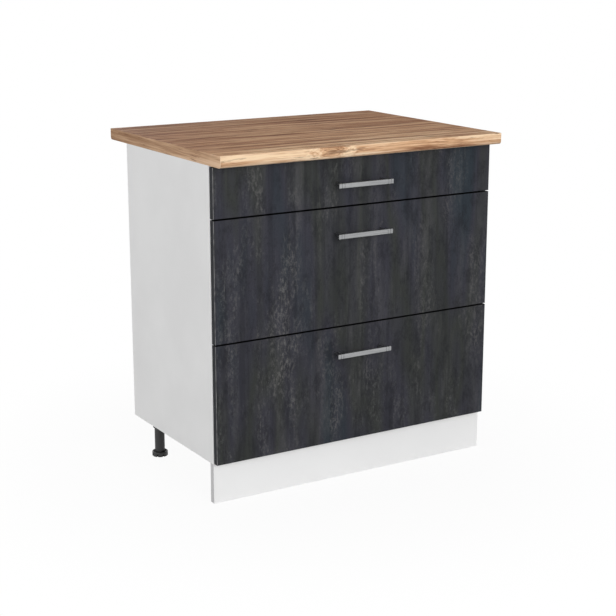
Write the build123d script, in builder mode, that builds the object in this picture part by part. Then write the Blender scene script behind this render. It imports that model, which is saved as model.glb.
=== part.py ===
from build123d import *
import os
from math import ceil, floor

# Kitchen base cabinet with three drawers on roller runners.
#
# Frame: X runs to the right, -Y is the front, +Z is up. The origin is on the floor under the
# middle of the worktop. Lengths are in millimetres.

# ------------------------------------------------------------------ driving dimensions: overall
WIDTH = 800.0
HEIGHT = 850.0
WORKTOP_DEPTH = 600.0
WORKTOP_THICKNESS = 28.0
WORKTOP_OVERHANG = 42.0  # worktop's front edge to the drawer fronts' faces
POSTFORM_RADIUS = 7.0
END_BAND_THICKNESS = 0.6
CARCASS_DEPTH = 444.0
BOARD = 16.0
LEG_HEIGHT = 102.0

# ------------------------------------------------------------------ carcass
RAIL_DEPTH = 100.0
BACK_THICKNESS = 3.0
BACK_SETBACK = 12.0  # free edge of the side panels behind the back panel
PANEL_EDGE_GAP = 1.0  # back panel and drawer bases, to the ends of their grooves
GROOVE_DEPTH = 8.0
GROOVE_CLEARANCE = 0.2
CAM_DIAMETER = 15.0
CAM_DEPTH = 12.5
CAM_FROM_EDGE = 34.0
CAM_INSET = 100.0  # cams of the bottom panel, from its front and rear edges
CAM_CROSS_LENGTH = 7.5
CAM_CROSS_WIDTH = 1.2
CAM_CROSS_DEPTH = 2.0
BOLT_DIAMETER = 6.0
BOLT_HOOK = 5.0  # end of a bolt inside its cam
BOLT_THREAD_DIAMETER = 5.0
BOLT_THREAD_LENGTH = 11.0
CLEARANCE = 0.1  # radial, pieces pushed into bored holes

# ------------------------------------------------------------------ drawer fronts and boxes
FRONT_THICKNESS = 16.0
FRONT_CLEARANCE = 1.0  # fronts' rear faces to the carcass edges
FRONT_SIDE_MARGIN = 2.0
FRONT_BOTTOM_MARGIN = 1.0
FRONT_TOP_MARGIN = 3.0
FRONT_GAP = 3.0
FRONT_EDGE_RADIUS = 1.0
TOP_FRONT_HEIGHT = 120.0
SIDE_RISE = 27.0  # a drawer side's lower edge above its front's lower edge
SHALLOW_HEADROOM = 25.0  # a drawer side's upper edge below its front's upper edge
DEEP_HEADROOM = 68.0
BASE_THICKNESS = 3.0
BASE_RISE = 11.0  # the base groove above the drawer side's lower edge
EDGE_CHAMFER = 1.0
DOWEL_DIAMETER = 8.0
DOWEL_LENGTH = 30.0
DOWEL_DEPTH = 10.0  # of a dowel's end in the drawer front
BOX_SCREW_DIAMETER = 3.5
BOX_SCREW_HEAD = 7.0
BOX_SCREW_LENGTH = 30.0
JOINT_ABOVE_BASE = 17.0  # lowest dowel and screw of a corner, above the drawer's base
JOINT_BELOW_EDGE = 16.0  # highest dowel and screw of a corner, below the drawer side's upper edge
JOINT_SPACING = 100.0  # widest spacing of a corner's dowels and screws

# ------------------------------------------------------------------ handles
BAR_LENGTH = 156.0
BAR_HEIGHT = 12.0
BAR_THICKNESS = 8.0
BAR_EDGE_RADIUS = 2.0
BAR_STANDOFF = 27.0  # bar's rear face to the front's face
HANDLE_DROP = 65.0  # bar's middle below the front's upper edge
POST_SPACING = 128.0
POST_DIAMETER = 10.0
BAR_END_CHAMFER = 0.8
GROOVE_INSETS = (7.5, 15.0)  # from the bar's end to the middle of each groove round it
BAR_GROOVE_WIDTH = 1.2
BAR_GROOVE_DEPTH = 0.8
HANDLE_SCREW_DIAMETER = 4.0
HANDLE_SCREW_LENGTH = 25.0
HANDLE_HEAD_DIAMETER = 8.0
HANDLE_HEAD_HEIGHT = 2.5
HANDLE_THREAD_ROOM = 2.0  # beyond the screw's tip

# ------------------------------------------------------------------ roller runners
SHEET = 1.2
BEND = 0.6  # inside radius of a bend in the sheet
RUNNER_SPACE = 12.5  # side panel to drawer side
RUNNER_SETBACK = 2.0
RUNNER_REAR_SPACE = 27.0
TRAVEL_LOSS = 100.0
ROLLER_DIAMETER = 17.0
ROLLER_WIDTH = 6.0
ROLLER_RECESS = 1.4
ROLLER_CHAMFER = 0.5
ROLLER_END = 14.0  # roller axis to the end of its rail
RIVET_DIAMETER = 5.0
RIVET_HEAD_DIAMETER = 8.0
RIVET_HEAD_HEIGHT = 1.0
RUNNING_CLEARANCE = 0.05  # rollers on rivets, on the tracks and under the flanges
SIDE_PLAY = 0.4  # rollers to the webs beside them
TRACK_DROP = 3.2  # rear roller's lowest point below the drawer side's lower edge
FLANGE_PLAY = 0.35  # cabinet rail's upper flange above the rear roller
FLANGE_GAP = 0.5  # drawer rail's upper flange above the cabinet rail's
UPPER_FLANGE_WIDTH = 7.5
DRAWER_FLANGE_PLAY = 1.0  # drawer rail's upper flange to the cabinet rail's web
FLANGE_CUT = 4.0  # cabinet rail's upper flange starts this far behind the front roller
TRACK_PLAY = 0.7  # track's edge to the drawer rail's web
SUPPORT_WIDTH = 13.0  # drawer rail's flange under the drawer side
STOP_HEIGHT = 5.0
STOP_GAP = 0.5
STOP_WINDOW = 6.0
DRAWER_RAIL_GAP = 1.0  # drawer rail's front end to the drawer front
SYSTEM_SETBACK = 37.0  # first row of holes, from the carcass's front edge
SYSTEM_PITCH = 32.0
RUNNER_SCREW_DIAMETER = 3.5
RUNNER_SCREW_HEAD = 7.0
RUNNER_SCREW_LENGTH = 14.0
SLOT_LENGTH = 9.0
SLOT_WIDTH = 4.5
SLOT_STEP = 3  # system pitches from slot to slot
RAIL_SCREW_WALL = 3.0  # axes of the drawer rail's screws, beyond the end of the base groove
RAIL_SCREW_MARGIN = 64.0  # and from the drawer rail's ends

# ------------------------------------------------------------------ legs
LEG_INSET_X = 42.0  # leg axis to the side panel's outer face
LEG_INSET_FRONT = 51.0  # leg axis to the carcass's front edge
LEG_INSET_REAR = 60.0  # leg axis to the side panel's rear edge
FLANGE_SIZE = 60.0
FLANGE_THICKNESS = 4.0
FLANGE_CORNER = 8.0
FLANGE_HOLE_SPACING = 40.0
SOCKET_DEPTH = 20.0
SOCKET_WALL = 3.5
RIB_THICKNESS = 2.0
GUSSET_DEPTH = 14.0
GUSSET_MARGIN = 3.0  # gusset's thin end to the flange's edge
TUBE_DIAMETER = 26.0
TUBE_WALL = 2.0
TUBE_BOTTOM = 6.0
COLLAR_LENGTH = 16.0
STEM_DIAMETER = 18.0
STEM_LENGTH = 52.0
STEM_BORE_DIAMETER = 10.0
FOOT_DIAMETER = 41.0
FOOT_PLATE = 3.0
FOOT_RIM_HEIGHT = 12.0
FOOT_RIM_WALL = 3.0
FOOT_NOTCHES = 8
FOOT_NOTCH_WIDTH = 4.0
FOOT_NOTCH_HEIGHT = 7.0
FOOT_NOTCH_DEPTH = 4.0  # from outside, through the rim
FOOT_RIBS = 4
FOOT_RIB_HEIGHT = 2.4
LEG_SCREW_DIAMETER = 4.0
LEG_SCREW_HEAD = 8.0
LEG_SCREW_LENGTH = 16.0

# ------------------------------------------------------------------ plinth
PLINTH_SETBACK = 18.0  # plinth's face behind the drawer fronts' faces
PLINTH_SIDE_MARGIN = 1.5
PLINTH_FLOOR_GAP = 1.0
PLINTH_TOP_GAP = 1.0
CLIP_PLATE_WIDTH = 36.0
CLIP_PLATE_HEIGHT = 44.0
CLIP_PLATE_THICKNESS = 3.0
CLIP_FORK_HEIGHT = 18.0
CLIP_WALL = 3.0
CLIP_NECK_WIDTH = 14.0
CLIP_REACH = 5.0  # fork tips behind the leg's axis
CLIP_CLEARANCE = 0.3
CLIP_PIN_DIAMETER = 6.0
CLIP_PIN_LENGTH = 10.0
CLIP_PIN_SPACING = 30.0

# ------------------------------------------------------------------ worktop screws
WORKTOP_SCREW_DIAMETER = 4.0
WORKTOP_SCREW_HEAD = 8.0
WORKTOP_SCREW_HEAD_HEIGHT = 2.2
WORKTOP_SCREW_LENGTH = 30.0
WORKTOP_SCREW_INSET = 120.0

# ------------------------------------------------------------------ worked-out places
half_width = WIDTH / 2
inner_half = half_width - BOARD
carcass_bottom = LEG_HEIGHT
carcass_top = HEIGHT - WORKTOP_THICKNESS
carcass_height = carcass_top - carcass_bottom
worktop_front = -WORKTOP_DEPTH / 2
front_face = worktop_front + WORKTOP_OVERHANG
front_rear = front_face + FRONT_THICKNESS
carcass_front = front_rear + FRONT_CLEARANCE
carcass_rear = carcass_front + CARCASS_DEPTH
back_front = carcass_rear - BACK_SETBACK - BACK_THICKNESS

runner_front = carcass_front + RUNNER_SETBACK
runner_rear = back_front - RUNNER_REAR_SPACE
runner_length = runner_rear - runner_front
travel = runner_length - TRAVEL_LOSS
roller_radius = ROLLER_DIAMETER / 2
front_roller_y = runner_front + ROLLER_END

box_half = inner_half - RUNNER_SPACE
box_inner_half = box_half - BOARD
box_rear = front_rear + runner_length
rear_roller_y = box_rear - ROLLER_END

leg_x = half_width - LEG_INSET_X
leg_front_y = carcass_front + LEG_INSET_FRONT
leg_rear_y = carcass_rear - LEG_INSET_REAR
LEG_PLACES = {
    "front_left": (-leg_x, leg_front_y),
    "front_right": (leg_x, leg_front_y),
    "rear_left": (-leg_x, leg_rear_y),
    "rear_right": (leg_x, leg_rear_y),
}
HANDS = {"left": -1, "right": 1}

# Heights of each drawer, from the top one down. The deep fronts share what the shallow one leaves.
front_heights_sum = carcass_height - FRONT_BOTTOM_MARGIN - FRONT_TOP_MARGIN - 2 * FRONT_GAP
deep_front_height = (front_heights_sum - TOP_FRONT_HEIGHT) / 2
fronts_bottom = carcass_bottom + FRONT_BOTTOM_MARGIN
DRAWERS = {
    1: (fronts_bottom + 2 * (deep_front_height + FRONT_GAP), TOP_FRONT_HEIGHT, SHALLOW_HEADROOM),
    2: (fronts_bottom + deep_front_height + FRONT_GAP, deep_front_height, DEEP_HEADROOM),
    3: (fronts_bottom, deep_front_height, DEEP_HEADROOM),
}


def save(part, label):
    """Label a finished piece and write it under that name."""
    part.label = label
    export_step(part, f"parts/{label}.step")


def screw(diameter, length, head_diameter, head_height=None):
    """Screw with its head's seat at the origin and its shank along +Z.

    Without a head height the head is countersunk, flush with the seat, at 90 degrees.
    """
    shank = diameter / 2
    head = head_diameter / 2
    tip = [(shank, length - shank), (0, length)]
    if head_height is None:
        outline = [(0, 0), (head, 0), (shank, head - shank)] + tip
    else:
        dome = head_height / 2
        outline = [(0, -head_height), (head - dome, -head_height), (head, -dome), (head, 0), (shank, 0)] + tip
    with BuildPart() as turned:
        with BuildSketch(Plane.XZ):
            with BuildLine():
                Polyline(*outline, close=True)
            make_face()
        revolve(axis=Axis.Z)
    return turned.part


def group(piece, places):
    """Copies of one piece, each a solid of its own, at the given planes."""
    with BuildPart() as copies:
        for place in places:
            add(piece.moved(place.location))
    return copies.part


def board(x_range, y_range, z_range):
    """Flat board between two X, two Y and two Z values."""
    with BuildPart() as panel:
        with BuildSketch(Plane.XY.offset(z_range[0])):
            with Locations((sum(x_range) / 2, sum(y_range) / 2)):
                Rectangle(x_range[1] - x_range[0], y_range[1] - y_range[0])
        extrude(amount=z_range[1] - z_range[0])
    return panel.part


def inward(hand, x, y, z):
    """Plane at a point, facing the cabinet's middle from the given side."""
    return Plane(origin=(hand * x, y, z), z_dir=(-hand, 0, 0))


os.makedirs("parts", exist_ok=True)

# ================================================================== worktop
rail_bottom = carcass_top - BOARD
rail_ys = (carcass_front + RAIL_DEPTH / 2, back_front - RAIL_DEPTH / 2)
worktop_screw_x = inner_half - WORKTOP_SCREW_INSET
worktop_screw_places = [(x, y) for x in (-worktop_screw_x, worktop_screw_x) for y in rail_ys]

with BuildSketch(Plane.YZ) as worktop_section:
    with Locations((0, carcass_top + WORKTOP_THICKNESS / 2)):
        Rectangle(WORKTOP_DEPTH, WORKTOP_THICKNESS)
    fillet(worktop_section.vertices().group_by(Axis.Y)[0], POSTFORM_RADIUS)

with BuildPart() as worktop:
    extrude(worktop_section.sketch, amount=half_width - END_BAND_THICKNESS, both=True)
    with BuildSketch(Plane.XY.offset(carcass_top)):
        with Locations(*worktop_screw_places):
            Circle(WORKTOP_SCREW_DIAMETER / 2 + CLEARANCE)
    extrude(amount=WORKTOP_SCREW_LENGTH - BOARD, mode=Mode.SUBTRACT)
save(worktop.part, "worktop")

with BuildPart() as end_bands:
    for hand in HANDS.values():
        with BuildSketch(Plane.YZ.offset(hand * (half_width - END_BAND_THICKNESS))):
            add(worktop_section.sketch_local)
        extrude(amount=hand * END_BAND_THICKNESS)
save(end_bands.part, "worktop_end_bands")

worktop_screw = screw(
    WORKTOP_SCREW_DIAMETER, WORKTOP_SCREW_LENGTH, WORKTOP_SCREW_HEAD, WORKTOP_SCREW_HEAD_HEIGHT
)
save(
    group(worktop_screw, [Plane(origin=(x, y, rail_bottom)) for x, y in worktop_screw_places]),
    "worktop_screws",
)

# ================================================================== side panels
# A bolt in each side panel reaches into the end of a board, to a cam in the board's underside.
bottom_cam_ys = (carcass_front + CAM_INSET, back_front - CAM_INSET)
cam_rows = [(y, carcass_bottom) for y in bottom_cam_ys] + [(y, rail_bottom) for y in rail_ys]

# The screws of the cabinet rails stand on the rows of system holes, at each rail's web.
web_rise = ROLLER_DIAMETER / 2 - TRACK_DROP
screw_pitches = floor((runner_length - SYSTEM_SETBACK - SYSTEM_PITCH) / SYSTEM_PITCH)
screw_ys = [carcass_front + SYSTEM_SETBACK + SYSTEM_PITCH * step for step in (0, screw_pitches)]
screw_zs = [bottom + SIDE_RISE + web_rise for bottom, _, _ in DRAWERS.values()]
runner_screw_places = [(y, z) for y in screw_ys for z in screw_zs]

for side, hand in HANDS.items():
    with BuildPart() as side_panel:
        with BuildSketch(Plane.YZ.offset(hand * inner_half)):
            with Locations(((carcass_front + carcass_rear) / 2, (carcass_bottom + carcass_top) / 2)):
                Rectangle(CARCASS_DEPTH, carcass_height)
        extrude(amount=hand * BOARD)
        with BuildSketch(Plane.YZ.offset(hand * inner_half)):
            with Locations((back_front + BACK_THICKNESS / 2, (carcass_bottom + carcass_top) / 2)):
                Rectangle(BACK_THICKNESS + GROOVE_CLEARANCE, carcass_height)
        extrude(amount=hand * GROOVE_DEPTH, mode=Mode.SUBTRACT)
        with Locations(*[inward(hand, inner_half, y, z + BOARD / 2) for y, z in cam_rows]):
            Hole(BOLT_THREAD_DIAMETER / 2 + CLEARANCE, BOLT_THREAD_LENGTH)
        with Locations(*[inward(hand, inner_half, y, z) for y, z in runner_screw_places]):
            CounterSinkHole(
                RUNNER_SCREW_DIAMETER / 2 + CLEARANCE,
                RUNNER_SCREW_HEAD / 2 - SHEET + CLEARANCE,
                RUNNER_SCREW_LENGTH - SHEET,
                90,
            )
    save(side_panel.part, f"side_panel_{side}")

runner_screw = screw(RUNNER_SCREW_DIAMETER, RUNNER_SCREW_LENGTH, RUNNER_SCREW_HEAD)
runner_screw_planes = [
    Plane(origin=(hand * (inner_half - SHEET), y, z), z_dir=(hand, 0, 0))
    for hand in HANDS.values()
    for y, z in runner_screw_places
]
save(group(runner_screw, runner_screw_planes), "runner_screws")

# ================================================================== boards between the side panels
cam_x = inner_half - CAM_FROM_EDGE


def cam_board(front, rear, bottom, cam_ys):
    """Board between the side panels, with the bores of its cams and of the bolts they draw in."""
    with BuildPart() as bored:
        add(board((-inner_half, inner_half), (front, rear), (bottom, bottom + BOARD)))
        for hand in HANDS.values():
            with Locations(*[Plane(origin=(hand * cam_x, y, bottom), z_dir=(0, 0, -1)) for y in cam_ys]):
                Hole(CAM_DIAMETER / 2 + CLEARANCE, CAM_DEPTH + CLEARANCE)
            end_z = bottom + BOARD / 2
            ends = [Plane(origin=(hand * inner_half, y, end_z), z_dir=(hand, 0, 0)) for y in cam_ys]
            with Locations(*ends):
                Hole(BOLT_DIAMETER / 2 + CLEARANCE, CAM_FROM_EDGE)
    return bored.part


with BuildPart() as bottom_panel:
    add(cam_board(carcass_front, back_front, carcass_bottom, bottom_cam_ys))
    with BuildSketch(Plane.XY.offset(carcass_bottom)):
        for leg_place in LEG_PLACES.values():
            with Locations(leg_place):
                with GridLocations(FLANGE_HOLE_SPACING, FLANGE_HOLE_SPACING, 2, 2):
                    Circle(LEG_SCREW_DIAMETER / 2 + CLEARANCE)
    extrude(amount=LEG_SCREW_LENGTH - FLANGE_THICKNESS, mode=Mode.SUBTRACT)
save(bottom_panel.part, "bottom_panel")

for place, rail_y in zip(("front", "rear"), rail_ys):
    with BuildPart() as top_rail:
        add(cam_board(rail_y - RAIL_DEPTH / 2, rail_y + RAIL_DEPTH / 2, rail_bottom, (rail_y,)))
        with BuildSketch(Plane.XY.offset(rail_bottom)):
            with Locations((-worktop_screw_x, rail_y), (worktop_screw_x, rail_y)):
                Circle(WORKTOP_SCREW_DIAMETER / 2 + CLEARANCE)
        extrude(amount=BOARD, mode=Mode.SUBTRACT)
    save(top_rail.part, f"top_rail_{place}")

back_half = inner_half + GROOVE_DEPTH - PANEL_EDGE_GAP
back_panel = board(
    (-back_half, back_half),
    (back_front, back_front + BACK_THICKNESS),
    (carcass_bottom + PANEL_EDGE_GAP, carcass_top - PANEL_EDGE_GAP),
)
save(back_panel, "back_panel")

# ================================================================== cam fittings
with BuildPart() as cam:
    Cylinder(CAM_DIAMETER / 2, CAM_DEPTH, align=(Align.CENTER, Align.CENTER, Align.MIN))
    with Locations(Plane(origin=(CAM_DIAMETER / 2, 0, BOARD / 2), z_dir=(1, 0, 0))):
        Hole(BOLT_DIAMETER / 2 + CLEARANCE, CAM_DIAMETER / 2)
    with BuildSketch(Plane.XY):
        Rectangle(CAM_CROSS_LENGTH, CAM_CROSS_WIDTH)
        Rectangle(CAM_CROSS_WIDTH, CAM_CROSS_LENGTH)
    extrude(amount=CAM_CROSS_DEPTH, mode=Mode.SUBTRACT)

bolt_reach = CAM_FROM_EDGE - CAM_DIAMETER / 2 + BOLT_HOOK
with BuildPart() as bolt:
    with BuildSketch(Plane.XY):
        Circle(BOLT_DIAMETER / 2)
    extrude(amount=bolt_reach)
    with BuildSketch(Plane.XY):
        Circle(BOLT_THREAD_DIAMETER / 2)
    extrude(amount=-BOLT_THREAD_LENGTH)

cam_planes = [
    Plane(origin=(hand * cam_x, y, z), x_dir=(hand, 0, 0)) for hand in HANDS.values() for y, z in cam_rows
]
bolt_planes = [inward(hand, inner_half, y, z + BOARD / 2) for hand in HANDS.values() for y, z in cam_rows]
save(group(cam.part, cam_planes), "cam_locks")
save(group(bolt.part, bolt_planes), "cam_bolts")

# ================================================================== legs
flange_bottom = carcass_bottom - FLANGE_THICKNESS
tube_radius = TUBE_DIAMETER / 2
stem_radius = STEM_DIAMETER / 2
socket_radius = tube_radius + CLEARANCE + SOCKET_WALL
gusset_reach = FLANGE_SIZE / 2 - GUSSET_MARGIN
leg_points = list(LEG_PLACES.values())

with BuildPart() as leg_flanges:
    with BuildSketch(Plane.XY.offset(carcass_bottom)):
        with Locations(*leg_points):
            RectangleRounded(FLANGE_SIZE, FLANGE_SIZE, FLANGE_CORNER)
    extrude(amount=-FLANGE_THICKNESS)
    for x, y in leg_points:
        for across in ((1, 0, 0), (0, 1, 0)):
            normal = (across[1], -across[0], 0)
            with BuildSketch(Plane(origin=(x, y, flange_bottom), x_dir=across, z_dir=normal)):
                with BuildLine():
                    Polyline(
                        (-gusset_reach, 0),
                        (-tube_radius, -GUSSET_DEPTH),
                        (tube_radius, -GUSSET_DEPTH),
                        (gusset_reach, 0),
                        close=True,
                    )
                make_face()
            extrude(amount=RIB_THICKNESS / 2, both=True)
    with BuildSketch(Plane.XY.offset(flange_bottom)):
        with Locations(*leg_points):
            Circle(socket_radius)
    extrude(amount=-SOCKET_DEPTH)
    with BuildSketch(Plane.XY.offset(flange_bottom)):
        with Locations(*leg_points):
            Circle(tube_radius + CLEARANCE)
    extrude(amount=-SOCKET_DEPTH, mode=Mode.SUBTRACT)
    for x, y in leg_points:
        with Locations(Plane(origin=(x, y, flange_bottom), z_dir=(0, 0, -1))):
            with GridLocations(FLANGE_HOLE_SPACING, FLANGE_HOLE_SPACING, 2, 2):
                CounterSinkHole(
                    LEG_SCREW_DIAMETER / 2 + CLEARANCE, LEG_SCREW_HEAD / 2 + CLEARANCE, FLANGE_THICKNESS, 90
                )
save(leg_flanges.part, "leg_flanges")

half_spacing = FLANGE_HOLE_SPACING / 2
leg_screw_planes = [
    Plane(origin=(x + dx, y + dy, flange_bottom))
    for x, y in leg_points
    for dx in (-half_spacing, half_spacing)
    for dy in (-half_spacing, half_spacing)
]
save(group(screw(LEG_SCREW_DIAMETER, LEG_SCREW_LENGTH, LEG_SCREW_HEAD), leg_screw_planes), "leg_screws")

with BuildPart() as leg_tubes:
    with BuildSketch(Plane.XY.offset(TUBE_BOTTOM)):
        with Locations(*leg_points):
            Circle(tube_radius)
    extrude(amount=flange_bottom - TUBE_BOTTOM)
    with BuildSketch(Plane.XY.offset(TUBE_BOTTOM + COLLAR_LENGTH)):
        with Locations(*leg_points):
            Circle(tube_radius - TUBE_WALL)
    extrude(amount=flange_bottom, mode=Mode.SUBTRACT)
    with BuildSketch(Plane.XY.offset(TUBE_BOTTOM)):
        with Locations(*leg_points):
            Circle(stem_radius + RUNNING_CLEARANCE)
    extrude(amount=COLLAR_LENGTH, mode=Mode.SUBTRACT)
save(leg_tubes.part, "leg_tubes")

foot_radius = FOOT_DIAMETER / 2
rim_inner = foot_radius - FOOT_RIM_WALL
rib_length = rim_inner - stem_radius + FOOT_RIM_WALL / 2  # runs a little into the rim and the stem
for name, (x, y) in LEG_PLACES.items():
    floor_plane = Plane(origin=(x, y, 0))
    with BuildPart() as leg_foot:
        with BuildSketch(floor_plane):
            Circle(foot_radius)
        extrude(amount=FOOT_RIM_HEIGHT)
        fillet(leg_foot.edges().group_by(Axis.Z)[-1], FOOT_RIM_WALL / 2)
        with BuildSketch(floor_plane.offset(FOOT_PLATE)):
            Circle(rim_inner)
        extrude(amount=FOOT_RIM_HEIGHT, mode=Mode.SUBTRACT)
        with BuildSketch(floor_plane):
            with PolarLocations(foot_radius, FOOT_NOTCHES):
                Rectangle(2 * FOOT_NOTCH_DEPTH, FOOT_NOTCH_WIDTH)
        extrude(amount=FOOT_NOTCH_HEIGHT, mode=Mode.SUBTRACT)
        with BuildSketch(floor_plane.offset(FOOT_PLATE)):
            with PolarLocations((rim_inner + stem_radius) / 2, FOOT_RIBS, start_angle=180 / FOOT_NOTCHES):
                Rectangle(rib_length, RIB_THICKNESS)
        extrude(amount=FOOT_RIB_HEIGHT)
        with BuildSketch(floor_plane.offset(FOOT_PLATE)):
            Circle(stem_radius)
        extrude(amount=STEM_LENGTH)
        chamfer(leg_foot.edges().group_by(Axis.Z)[-1], EDGE_CHAMFER)
        with BuildSketch(floor_plane):
            Circle(STEM_BORE_DIAMETER / 2)
        extrude(amount=FOOT_PLATE + STEM_LENGTH, mode=Mode.SUBTRACT)
    save(leg_foot.part, f"leg_foot_{name}")

# ================================================================== plinth
plinth_face = front_face + PLINTH_SETBACK
plinth_rear = plinth_face + BOARD
plinth_half = half_width - PLINTH_SIDE_MARGIN
plinth_top = carcass_bottom - PLINTH_TOP_GAP
clip_middle = (PLINTH_FLOOR_GAP + plinth_top) / 2
clip_pin_planes = [
    Plane(origin=(x, plinth_rear, clip_middle + rise), z_dir=(0, 1, 0))
    for x in (-leg_x, leg_x)
    for rise in (-CLIP_PIN_SPACING / 2, CLIP_PIN_SPACING / 2)
]
with BuildPart() as plinth_panel:
    add(board((-plinth_half, plinth_half), (plinth_face, plinth_rear), (PLINTH_FLOOR_GAP, plinth_top)))
    with Locations(*clip_pin_planes):
        Hole(CLIP_PIN_DIAMETER / 2 + CLEARANCE, CLIP_PIN_LENGTH)
save(plinth_panel.part, "plinth_panel")

fork_inner = tube_radius + CLIP_CLEARANCE
fork_outer = fork_inner + CLIP_WALL
front_leg_points = [LEG_PLACES["front_left"], LEG_PLACES["front_right"]]
with BuildPart() as plinth_clips:
    with BuildSketch(Plane.XZ.offset(-plinth_rear)):
        with Locations(*[(x, clip_middle) for x, _ in front_leg_points]):
            RectangleRounded(CLIP_PLATE_WIDTH, CLIP_PLATE_HEIGHT, CLIP_WALL)
    extrude(amount=-CLIP_PLATE_THICKNESS)
    for pin_plane in clip_pin_planes:
        with BuildSketch(pin_plane):
            Circle(CLIP_PIN_DIAMETER / 2)
        extrude(amount=-CLIP_PIN_LENGTH)
    with BuildSketch(Plane.XY.offset(clip_middle)):
        for x, y in front_leg_points:
            with Locations((x, (plinth_rear + y - tube_radius) / 2)):
                Rectangle(CLIP_NECK_WIDTH, y - tube_radius - plinth_rear)
            with Locations((x, y)):
                Circle(fork_outer)
            with Locations((x, y + CLIP_REACH / 2)):
                Rectangle(2 * fork_outer, CLIP_REACH)
            with Locations((x, y)):
                Circle(fork_inner, mode=Mode.SUBTRACT)
            with Locations((x, y + fork_outer / 2)):
                Rectangle(2 * fork_inner, fork_outer, mode=Mode.SUBTRACT)
            with Locations((x, y + CLIP_REACH + fork_outer / 2)):
                Rectangle(2 * fork_outer, fork_outer, mode=Mode.SUBTRACT)
    extrude(amount=CLIP_FORK_HEIGHT / 2, both=True)
save(plinth_clips.part, "plinth_clips")

# ================================================================== roller runners
# Heights above a drawer side's lower edge. The rear roller, on the drawer rail, runs between the
# cabinet rail's track and its upper flange. The drawer rail's upper flange rides on the front
# roller, which stands on the cabinet rail.
rear_roller_rise = roller_radius - TRACK_DROP
track_rise = -TRACK_DROP - RUNNING_CLEARANCE
cabinet_flange_top = rear_roller_rise + roller_radius + FLANGE_PLAY + SHEET
drawer_flange_top = cabinet_flange_top + FLANGE_GAP + SHEET
front_roller_rise = drawer_flange_top - SHEET - RUNNING_CLEARANCE - roller_radius

# Places across the runner, from the left side panel's inner face.
panel_x = -inner_half
web_x = panel_x + SHEET
drawer_web_x = -box_half - SHEET
track_edge_x = drawer_web_x - TRACK_PLAY
rear_roller_x = drawer_web_x - SIDE_PLAY
opening_stop_y = rear_roller_y - travel - roller_radius - STOP_GAP
closing_stop_y = rear_roller_y + roller_radius + STOP_GAP

rail_front = front_rear + DRAWER_RAIL_GAP
rail_screw_x = box_inner_half + GROOVE_DEPTH + RAIL_SCREW_WALL
rail_screw_ys = (rail_front + RAIL_SCREW_MARGIN, box_rear - RAIL_SCREW_MARGIN)


def rail_screw_planes(hand, z):
    """Planes at the screws of a drawer rail, facing down."""
    return [Plane(origin=(hand * rail_screw_x, y, z), z_dir=(0, 0, -1)) for y in rail_screw_ys]


def rivet(plane):
    """Rivet of a roller: its shank crosses the roller and its head lies in the roller's recess."""
    seat = SIDE_PLAY + ROLLER_WIDTH - ROLLER_RECESS + RUNNING_CLEARANCE
    with BuildPart() as pin:
        with BuildSketch(plane):
            Circle(RIVET_DIAMETER / 2)
        extrude(amount=seat)
        with BuildSketch(plane.offset(seat)):
            Circle(RIVET_HEAD_DIAMETER / 2)
        extrude(amount=RIVET_HEAD_HEIGHT)
    return pin.part


def roller(plane):
    """Roller bored for its rivet and recessed for the rivet's head."""
    with BuildPart() as wheel:
        with BuildSketch(plane.offset(SIDE_PLAY)):
            Circle(roller_radius)
            Circle(RIVET_DIAMETER / 2 + RUNNING_CLEARANCE, mode=Mode.SUBTRACT)
        extrude(amount=ROLLER_WIDTH)
        rims = wheel.edges().filter_by(GeomType.CIRCLE).sort_by(SortBy.RADIUS)[-2:]
        chamfer(rims, ROLLER_CHAMFER)
        with BuildSketch(plane.offset(SIDE_PLAY + ROLLER_WIDTH)):
            Circle(RIVET_HEAD_DIAMETER / 2 + SIDE_PLAY)
        extrude(amount=-ROLLER_RECESS, mode=Mode.SUBTRACT)
    return wheel.part


def pair(left_piece):
    """A left piece and its mirror image on the right, as two solids."""
    with BuildPart() as both:
        add(left_piece)
        mirror(about=Plane.YZ)
    return both.part


def front_axle(side_bottom):
    """Plane of the left front rivet, on the cabinet rail's web and facing the cabinet's middle."""
    return Plane(origin=(web_x, front_roller_y, side_bottom + front_roller_rise), z_dir=(1, 0, 0))


def rear_axle(side_bottom):
    """Plane of the left rear rivet, on the drawer rail's web and facing the side panel."""
    return Plane(origin=(drawer_web_x, rear_roller_y, side_bottom + rear_roller_rise), z_dir=(-1, 0, 0))


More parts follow.
